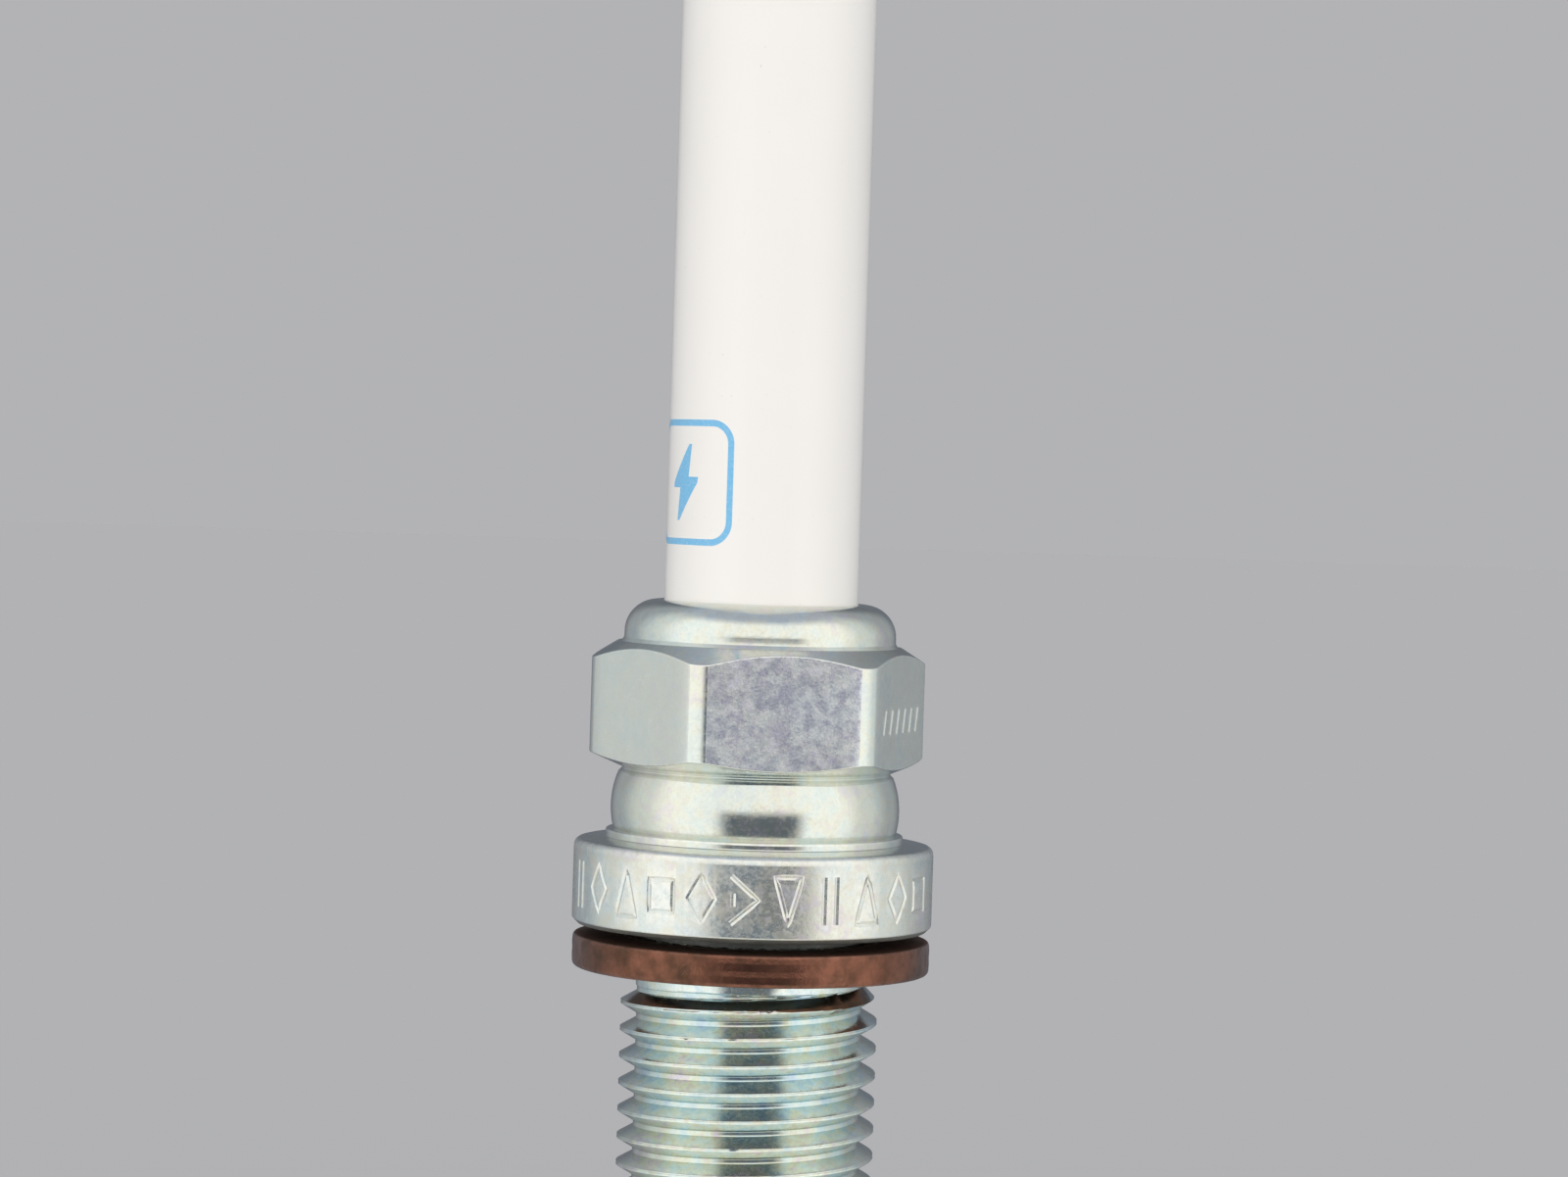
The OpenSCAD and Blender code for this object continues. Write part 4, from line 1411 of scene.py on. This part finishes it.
    def zone(self, place: Vector, normal: Vector) -> Zone:
        """Finds the zone of a face.

        Args:
            place: Middle of the face, in millimetres.
            normal: The face's normal.

        Returns:
            The zone.
        """
        x, y, z = place
        reach, nz = math.hypot(x, y), normal.z
        flat_r = self.hex_af / 2
        edge = math.degrees(math.acos(flat_r / self.corner_r)) + 0.2
        sector = (math.degrees(math.atan2(y, x)) - self.hex_turn) / 60 % 6
        on_flat = abs(sector % 1 - 0.5) * 60 < edge and self.hex_z < z < self.hex_top
        if z < self.rolled_from and reach > self.bore_r + 0.5:
            return Zone.ROLLED
        # Painted shade: faces of the seat that look down into the gap under the flange.
        if abs(z) < 0.15 and nz < -0.6:
            return Zone.SEAT
        # Painted shade: the neck's top band just under the seat, in the same gap.
        if self.gap_shade_from < z < 0 and self.neck_r - 0.1 < reach < self.neck_r + 0.2:
            return Zone.SEAT
        if 0 < z < self.flange_h and reach > self.flange_r - 0.4:
            return Zone.FLANGE
        if on_flat and abs(nz) < 0.2 and reach > flat_r - 0.25:
            return Zone.MOTTLED if int(sector) in self.mottled_flats else Zone.FORGED
        return Zone.TURNED


# ---------------------------------------------------------------- insulator and terminal


@dataclass
class Insulator:
    """Glazed ceramic insulator with its stepped bore."""

    finishes: Finishes
    upper_r: float = 4.5
    root_r: float = 4.55
    root_z: float = 9.9
    shoulder_z: float = 9.3
    belly_z: float = 2.0
    body_r: float = 3.65
    nose_r: float = 2.8
    tip_r: float = 1.95
    step_z: float = -14.6
    nose_z: float = -17.35
    stem_bore_r: float = 1.85
    electrode_bore_r: float = 1.2
    bore_step: float = -3.0
    draft_end: float = 15.2
    middle: float = 34.0

    def build(self) -> bpy.types.Object:
        """Turns the insulator.

        Returns:
            The insulator as one closed mesh.
        """
        low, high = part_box("insulator")
        end, top, belly_r = low.z / MM, high.z / MM, high.x / MM
        slope = belly_r - self.body_r
        step = self.body_r - self.nose_r
        bore_slope = self.stem_bore_r - self.electrode_bore_r
        points = [
            (self.electrode_bore_r, end + 1, 0), (self.electrode_bore_r, end, 0.12), (self.tip_r, end, 0.4),
            (self.nose_r, self.nose_z, 0.5), (self.nose_r, self.step_z - step, 0.15),
            (self.body_r, self.step_z, 0.15), (self.body_r, self.belly_z - slope, 0.2),
            (belly_r, self.belly_z, 0.2), (belly_r, self.shoulder_z, 0.2), (self.root_r, self.root_z, 0.1),
            (self.upper_r, self.draft_end, 0), (self.upper_r, self.middle, 0), (self.upper_r, top, 0.45),
            (self.stem_bore_r, top, 0.1), (self.stem_bore_r, self.bore_step + bore_slope, 0.05),
            (self.electrode_bore_r, self.bore_step, 0.05), (self.electrode_bore_r, end + 1, 0),
        ]
        return Lathe(160).turn("glazed_insulator", outline(points), self.finishes.ceramic)


@dataclass
class Terminal:
    """Solid terminal with its long stem."""

    finishes: Finishes
    stem_r: float = 1.75
    foot_r: float = 3.0
    foot_h: float = 0.9
    waist_r: float = 2.3
    waist_low: float = 1.7
    waist_high: float = 3.7
    head_low: float = 4.6
    head_side: float = 3.4
    top_inset: float = 0.7
    knurl_pitch: float = 0.6
    knurl_depth: float = 0.12
    knurl_count: int = 4
    dimple_r: float = 1.1
    dimple_floor_r: float = 0.85
    dimple_depth: float = 0.16

    def build(self) -> bpy.types.Object:
        """Turns the terminal.

        Returns:
            The terminal as one closed mesh.
        """
        low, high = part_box("terminal_post")
        stem_end, top, head_r = low.z / MM, high.z / MM, high.x / MM
        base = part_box("insulator")[1].z / MM
        points = [(0, stem_end, 0), (self.stem_r - self.knurl_depth, stem_end, 0.05)]
        deep = self.stem_r - self.knurl_depth
        for k in range(self.knurl_count):
            z = stem_end + self.knurl_depth + k * self.knurl_pitch
            points += [
                (self.stem_r, z, 0.03), (deep, z + self.knurl_pitch / 4, 0.03),
                (deep, z + self.knurl_pitch / 2, 0.03), (self.stem_r, z + self.knurl_pitch * 0.75, 0.03),
            ]
        points += [
            (self.stem_r, base + 0.01, 0.02), (self.foot_r, base + 0.01, 0.12),
            (self.foot_r, base + self.foot_h, 0.16),
            (self.waist_r + 0.2, base + self.foot_h + 0.4, 0.25), (self.waist_r, base + self.waist_low, 0.5),
            (self.waist_r, base + self.waist_high, 0.25), (head_r, base + self.head_low, 0.3),
            (head_r, base + self.head_low + self.head_side, 0.3), (head_r - self.top_inset, top, 0.25),
            (self.dimple_r, top, 0.08), (self.dimple_floor_r, top - 0.75 * self.dimple_depth, 0.08),
            (0, top - self.dimple_depth, 0),
        ]
        return Lathe(128).turn("terminal", outline(points), self.finishes.nickel_plate)


# ---------------------------------------------------------------- firing end


@dataclass
class FiringEnd:
    """Centre electrode with its fine tip, and the bent ground electrode with its weld and pad."""

    finishes: Finishes
    electrode_r: float = 1.15
    face_r: float = 0.55
    cone: float = 0.5
    head_r: float = 1.6
    head_neck_r: float = 1.05
    tip_r: float = 0.3
    weld_r: float = 0.38
    core_r: float = 0.65
    core_floor: float = 2.0
    bore_step: float = -3.0
    strap_width: float = 2.6
    strap_tip_width: float = 1.7
    strap_thickness: float = 1.25
    strap_corner: float = 0.28
    bend_r: float = 0.9
    taper_start: float = 1.3
    bead: float = 0.3
    weld_spots: int = 12
    spot_depth: float = 0.022
    straight: float = 1.2
    shell_end_r: float = 5.175
    bore_r: float = 1.2

    def electrode(self) -> bpy.types.Object:
        """Turns the nickel centre electrode, a cup round its copper core.

        Returns:
            The electrode as one closed mesh.
        """
        low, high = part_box("centre_electrode")
        end, top = low.z / MM, high.z / MM
        head_slope = self.head_r - self.bore_r
        points = [
            (0, end, 0), (self.face_r, end, 0.05), (self.electrode_r, end + self.cone, 0.12),
            (self.electrode_r, self.bore_step - 0.05, 0.05), (self.head_r, self.bore_step + head_slope, 0.08),
            (self.head_r, top - 1.0, 0.08), (self.head_neck_r, top - 0.7, 0.08),
            (self.head_neck_r, top, 0.05),
            (self.core_r + 0.02, top, 0.02), (self.core_r + 0.02, end + self.core_floor - 0.02, 0.05),
            (0, end + self.core_floor - 0.02, 0),
        ]
        return Lathe(96).turn("nickel_electrode", outline(points), self.finishes.nickel_alloy)

    def tip(self) -> bpy.types.Object:
        """Turns the noble metal tip.

        Returns:
            The tip as one closed mesh.
        """
        low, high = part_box("iridium_tip")
        end, top = low.z / MM, high.z / MM
        points = [(0, end, 0), (self.tip_r, end, 0.04), (self.tip_r, top, 0), (0, top, 0)]
        return Lathe(64).turn("firing_tip", outline(points), self.finishes.noble)

    def tip_bead(self) -> bpy.types.Object:
        """Makes the laser weld collar, with a row of overlapping weld spots round it.

        Returns:
            The collar as one closed mesh.
        """
        low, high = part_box("tip_weld")
        bottom, top = low.z / MM, high.z / MM
        points = [
            (self.tip_r + 0.005, top, 0), (self.face_r, top, 0.03),
            (self.weld_r + 0.11, (bottom + top) / 2, 0.12),
            (self.weld_r, bottom, 0.04), (self.tip_r + 0.005, bottom, 0), (self.tip_r + 0.005, top, 0),
        ]
        bead = Lathe(96).turn("tip_bead", outline(points, steps=5), self.finishes.weld)
        for vertex in bead.data.vertices:
            x, y, z = vertex.co
            reach = math.hypot(x, y)
            if reach > (self.tip_r + 0.03) * MM:
                wave = abs(math.sin(math.atan2(y, x) * self.weld_spots / 2))
                share = 1 - self.spot_depth * MM * wave / reach
                vertex.co = (x * share, y * share, z)
        return bead

    def strap_line(self) -> tuple[np.ndarray, float]:
        """Finds the ground electrode's centre line.

        Returns:
            Points from the shell's end to the free end, as (x, z), and the height below which it runs flat.
        """
        low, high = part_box("ground_electrode")
        half = self.strap_thickness / 2
        upright, flat = high.x / MM - half, low.z / MM + half
        centre = (upright - self.bend_r - half, flat + self.bend_r + half)
        turn = arc(*centre, self.bend_r + half, 0, -90, 16)
        line = [(upright, high.z / MM), (upright, high.z / MM - self.straight)]
        line += [(x, z) for x, z, _ in turn] + [(self.taper_start, flat), (low.x / MM, flat)]
        return np.array(line), centre[1]

    def strap(self) -> bpy.types.Object:
        """Bends the ground electrode.

        Returns:
            The strap as one closed mesh.
        """
        line, bend_top = self.strap_line()
        points = [(x, 0, z) for x, z in line]
        links = [(i, i + 1) for i in range(len(points) - 1)]
        base = new_mesh_object("bent_ground_electrode", points, links, [])
        values = {
            "Width": self.strap_width * MM, "Thickness": self.strap_thickness * MM,
            "Corner": self.strap_corner * MM, "Narrow from": self.taper_start * MM,
            "Narrow to": line[-1][0] * MM, "Tip share": self.strap_tip_width / self.strap_width,
            "Bottom": bend_top * MM, "Material": self.finishes.nickel_alloy,
        }
        made = grow(base, strap_tree(), values)
        dress(made, [self.finishes.nickel_alloy])
        return made

    def strap_bead(self) -> bpy.types.Object:
        """Makes the uneven weld bead round the ground electrode's root.

        Returns:
            The bead as one closed ring.
        """
        line, _ = self.strap_line()
        x0, z0 = line[0]
        half_x, half_y = self.strap_thickness / 2 + 0.02, self.strap_width / 2 + 0.02
        rings, sides = 96, 16
        points, faces = [], []
        for i in range(rings):
            a = math.tau * i / rings
            c, s = math.cos(a), math.sin(a)
            blunt = (abs(c) ** 4 + abs(s) ** 4) ** -0.25
            px, py = half_x * c * blunt, half_y * s * blunt
            size = self.bead * (0.8 + 0.16 * math.sin(5 * a + 1) + 0.1 * math.sin(11 * a))
            for j in range(sides):
                b = math.tau * j / sides
                x, y = x0 + px + size * math.cos(b) * c, py + size * math.cos(b) * s
                reach = math.hypot(x, y)
                share = min(1, self.shell_end_r / reach)
                points.append((x * share, y * share, z0 - 0.03 + min(0.02, size * math.sin(b))))
                after = (i + 1) % rings
                beside = (j + 1) % sides
                faces.append((i * sides + j, after * sides + j, after * sides + beside, i * sides + beside))
        bead = new_mesh_object("strap_bead", points, [], faces)
        dress(bead, [self.finishes.weld])
        return bead

    def pad(self) -> bpy.types.Object:
        """Turns the noble metal pad.

        Returns:
            The pad as one closed mesh.
        """
        low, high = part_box("ground_pad")
        r = high.x / MM
        bottom, top = low.z / MM, high.z / MM
        points = [(0, bottom, 0), (r, bottom, 0.02), (r, top, 0.05), (0, top, 0)]
        return Lathe(64).turn("spark_pad", outline(points), self.finishes.noble)

    def build(self) -> list[tuple]:
        """Makes every piece of the firing end.

        Returns:
            Pieces with the slot and the CAD node of each.
        """
        return [
            (self.electrode(), "nickel_alloy", "centre_electrode"),
            (self.tip(), "noble_metal", "iridium_tip"),
            (self.tip_bead(), "weld_metal", "tip_weld"),
            (self.strap(), "nickel_alloy", "ground_electrode"),
            (self.strap_bead(), "weld_metal", "strap_weld"),
            (self.pad(), "noble_metal", "ground_pad"),
        ]


@dataclass
class Gasket:
    """Loose copper crush gasket."""

    finishes: Finishes
    hole_r: float = 5.8
    edge: float = 0.24
    waist_low: float = 0.5
    waist_high: float = 0.4
    waist_depth: float = 0.015

    def build(self) -> bpy.types.Object:
        """Turns the gasket, with a faint waist round its outside where its sheet was folded, and painted
        shade on its top face and bore.

        Returns:
            The gasket as one closed mesh.
        """
        low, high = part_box("copper_gasket")
        outer, bottom, top = high.x / MM, low.z / MM, high.z / MM
        middle = (bottom + top) / 2
        points = [
            (self.hole_r, middle, 0), (self.hole_r, bottom, self.edge), (outer - 0.02, bottom, self.edge),
            (outer, bottom + self.waist_low, 0.3), (outer - self.waist_depth, middle, 0.3),
            (outer, top - self.waist_high, 0.3),
            (outer - 0.03, top, self.edge), (self.hole_r, top, self.edge), (self.hole_r, middle, 0),
        ]
        made = Lathe(192).turn("crush_gasket", outline(points, steps=5), self.finishes.copper)
        # Painted shade: the top face and the bore take the darker copper of the shaded gap.
        made.data.materials.append(self.finishes.gap_shade_copper)
        for face in made.data.polygons:
            x, y, z = face.center / MM
            in_shade = z > top - 0.02 or math.hypot(x, y) < self.hole_r + 0.05
            face.material_index = int(in_shade)
        return made


# ---------------------------------------------------------------- studio


@dataclass
class Studio:
    """Plain pale floor, soft light all round with a dark gap at the camera, and the camera."""

    distance: float = 205.0
    aim_height: float = 15.7
    aside: float = 1.03
    tilt: float = 1.5
    lean: float = 1.79
    lens: float = 101.5
    floor_size: float = 6.0
    panel: tuple = (1.28, 1.26, 1.21)
    front: tuple = (1.22, 1.19, 1.14)
    wall: tuple = (0.8, 0.83, 0.82)
    rear: tuple = (0.4, 0.42, 0.45)
    shade: tuple = (0.16, 0.175, 0.2)
    roof: tuple = (0.5, 0.54, 0.64)
    table: tuple = (0.95, 0.92, 0.84)
    gap: tuple = (0.15, 0.17, 0.2)
    backdrop: tuple = (0.448, 0.45, 0.462)
    floor_tone: tuple = (0.458, 0.452, 0.454)
    gap_around: float = 5.5
    gap_rise: float = -14.0
    gap_half_width: tuple = (25.0, 39.0)
    gap_half_height: tuple = (12.0, 21.0)
    lamp_power: float = 1.0
    lamp_spread: float = 50.0
    lamp_turn: tuple = (38.0, -4.0)

    def camera(self) -> None:
        """Makes the camera and gives it to the scene."""
        data = bpy.data.cameras.new("camera")
        data.lens = self.lens
        data.sensor_width = 36
        data.clip_start = 0.01
        data.clip_end = 20
        made = bpy.data.objects.new("camera", data)
        bpy.context.scene.collection.objects.link(made)
        rise = self.distance * math.tan(math.radians(self.tilt))
        place = Vector((self.aside, -self.distance, self.aim_height + rise)) * MM
        tilted = Matrix.Rotation(math.radians(90 - self.tilt), 4, "X")
        leaning = Matrix.Rotation(math.radians(self.lean), 4, "Z")
        made.matrix_world = Matrix.Translation(place) @ tilted @ leaning
        bpy.context.scene.camera = made

    def floor(self) -> None:
        """Lays the floor just under the plug."""
        level = CAD_BOX[0].z / MM - 0.05
        half = self.floor_size / 2 / MM
        points = [(-half, -half, level), (half, -half, level), (half, half, level), (-half, half, level)]
        floor = new_mesh_object("floor", points, [], [(0, 1, 2, 3)])
        material = bpy.data.materials.new("pale_floor")
        material.use_nodes = True
        shader = material.node_tree.nodes["Principled BSDF"]
        shader.inputs["Base Color"].default_value = colour(*self.floor_tone)
        shader.inputs["Roughness"].default_value = 1.0
        shader.inputs["Specular IOR Level"].default_value = 0.0
        dress(floor, [material])
        floor.visible_glossy = False

    def world(self) -> None:
        """Lights the scene from all round, like a light tent with a gap for the camera."""
        world = bpy.data.worlds.new("light_tent")
        world.use_nodes = True
        bpy.context.scene.world = world
        bench = NodeBench(world.node_tree)
        bench.tree.nodes.clear()
        way = bench.add("ShaderNodeTexCoord").outputs["Generated"]
        parts = bench.add("ShaderNodeSeparateXYZ", {"Vector": way}).outputs
        ahead = bench.math("MULTIPLY", parts["Y"], -1.0)
        around = bench.math("DEGREES", bench.math("ARCTAN2", parts["X"], ahead))
        rise = bench.math("DEGREES", bench.math("ARCSINE", parts["Z"]))
        off_middle = bench.math("ABSOLUTE", bench.math("SUBTRACT", around, self.gap_around))
        off_level = bench.math("ABSOLUTE", bench.math("SUBTRACT", rise, self.gap_rise))
        across_gap = bench.spread(off_middle, *self.gap_half_width, 1, 0)
        up_gap = bench.spread(off_level, *self.gap_half_height, 1, 0)
        gap = bench.math("MULTIPLY", across_gap, up_gap)
        aside = bench.math("ABSOLUTE", around)
        behind = bench.blend(bench.spread(aside, 142.0, 170.0), colour(*self.rear), colour(*self.shade))
        dim = bench.blend(bench.spread(aside, 100.0, 138.0), colour(*self.wall), behind)
        ahead_tone = bench.blend(bench.spread(aside, 26.0, 50.0), colour(*self.front), colour(*self.panel))
        tent = bench.blend(bench.spread(aside, 70.0, 100.0), ahead_tone, dim)
        roofed = bench.blend(bench.spread(rise, 40.0, 66.0), tent, colour(*self.roof))
        grounded = bench.blend(bench.spread(rise, -50.0, -30.0, 1, 0), roofed, colour(*self.table))
        seen = bench.blend(gap, grounded, colour(*self.gap))
        direct = bench.add("ShaderNodeLightPath").outputs["Is Camera Ray"]
        shown = bench.blend(direct, seen, colour(*self.backdrop))
        light = bench.add("ShaderNodeBackground", {"Color": shown, "Strength": 1.0})
        bench.add("ShaderNodeOutputWorld", {"Surface": light.outputs[0]})

    def lamp(self) -> None:
        """Adds a wide soft lamp above the front, which gives the floor its faint shadow."""
        data = bpy.data.lights.new("soft_lamp", "SUN")
        data.energy = self.lamp_power
        data.angle = math.radians(self.lamp_spread)
        made = bpy.data.objects.new("soft_lamp", data)
        bpy.context.scene.collection.objects.link(made)
        made.rotation_euler = (math.radians(self.lamp_turn[0]), math.radians(self.lamp_turn[1]), 0)
        made.visible_glossy = False

    def build(self) -> None:
        """Sets up the whole studio."""
        self.camera()
        self.floor()
        self.world()
        self.lamp()
        bpy.context.scene.view_settings.view_transform = "Standard"


# ---------------------------------------------------------------- whole plug


def finish_inner_nodes(finishes: Finishes) -> None:
    """Gives the CAD nodes that stay inside their finishes.

    Args:
        finishes: The plug's materials.
    """
    inner = {
        "upper_glass_seal": finishes.seal_glass, "lower_glass_seal": finishes.seal_glass,
        "resistor": finishes.resistor_glass, "electrode_copper_core": finishes.bright_copper,
        "ground_copper_core": finishes.bright_copper, "talc_fill": finishes.talc,
        "upper_packing_ring": finishes.plain_steel, "lower_packing_ring": finishes.plain_steel,
        "ledge_washer": finishes.plain_steel,
    }
    for node, material in inner.items():
        dress(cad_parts[node], [material])
        LOG.info("%s: CAD node with %s", node, material.name)


def main() -> None:
    """Builds the plug piece by piece around the frame, and the studio."""
    logging.basicConfig(level=logging.INFO, format="%(name)s: %(message)s")
    LATHE_TREES["plain"] = Lathe().tree(threaded=False)
    LATHE_TREES["threaded"] = Lathe().tree(threaded=True)
    Studio().build()
    finishes = Finishes(Effects())
    hand_over(Shell(finishes).build(), Body.PLUG, "zinc_plate", "shell")
    hand_over(Insulator(finishes).build(), Body.PLUG, "glazed_ceramic", "insulator")
    hand_over(Terminal(finishes).build(), Body.PLUG, "nickel_plate", "terminal_post")
    for piece, slot, node in FiringEnd(finishes).build():
        hand_over(piece, Body.PLUG, slot, node)
    hand_over(Gasket(finishes).build(), Body.GASKET, "tarnished_copper", "copper_gasket")
    finish_inner_nodes(finishes)


if __name__ == "__main__":
    main()
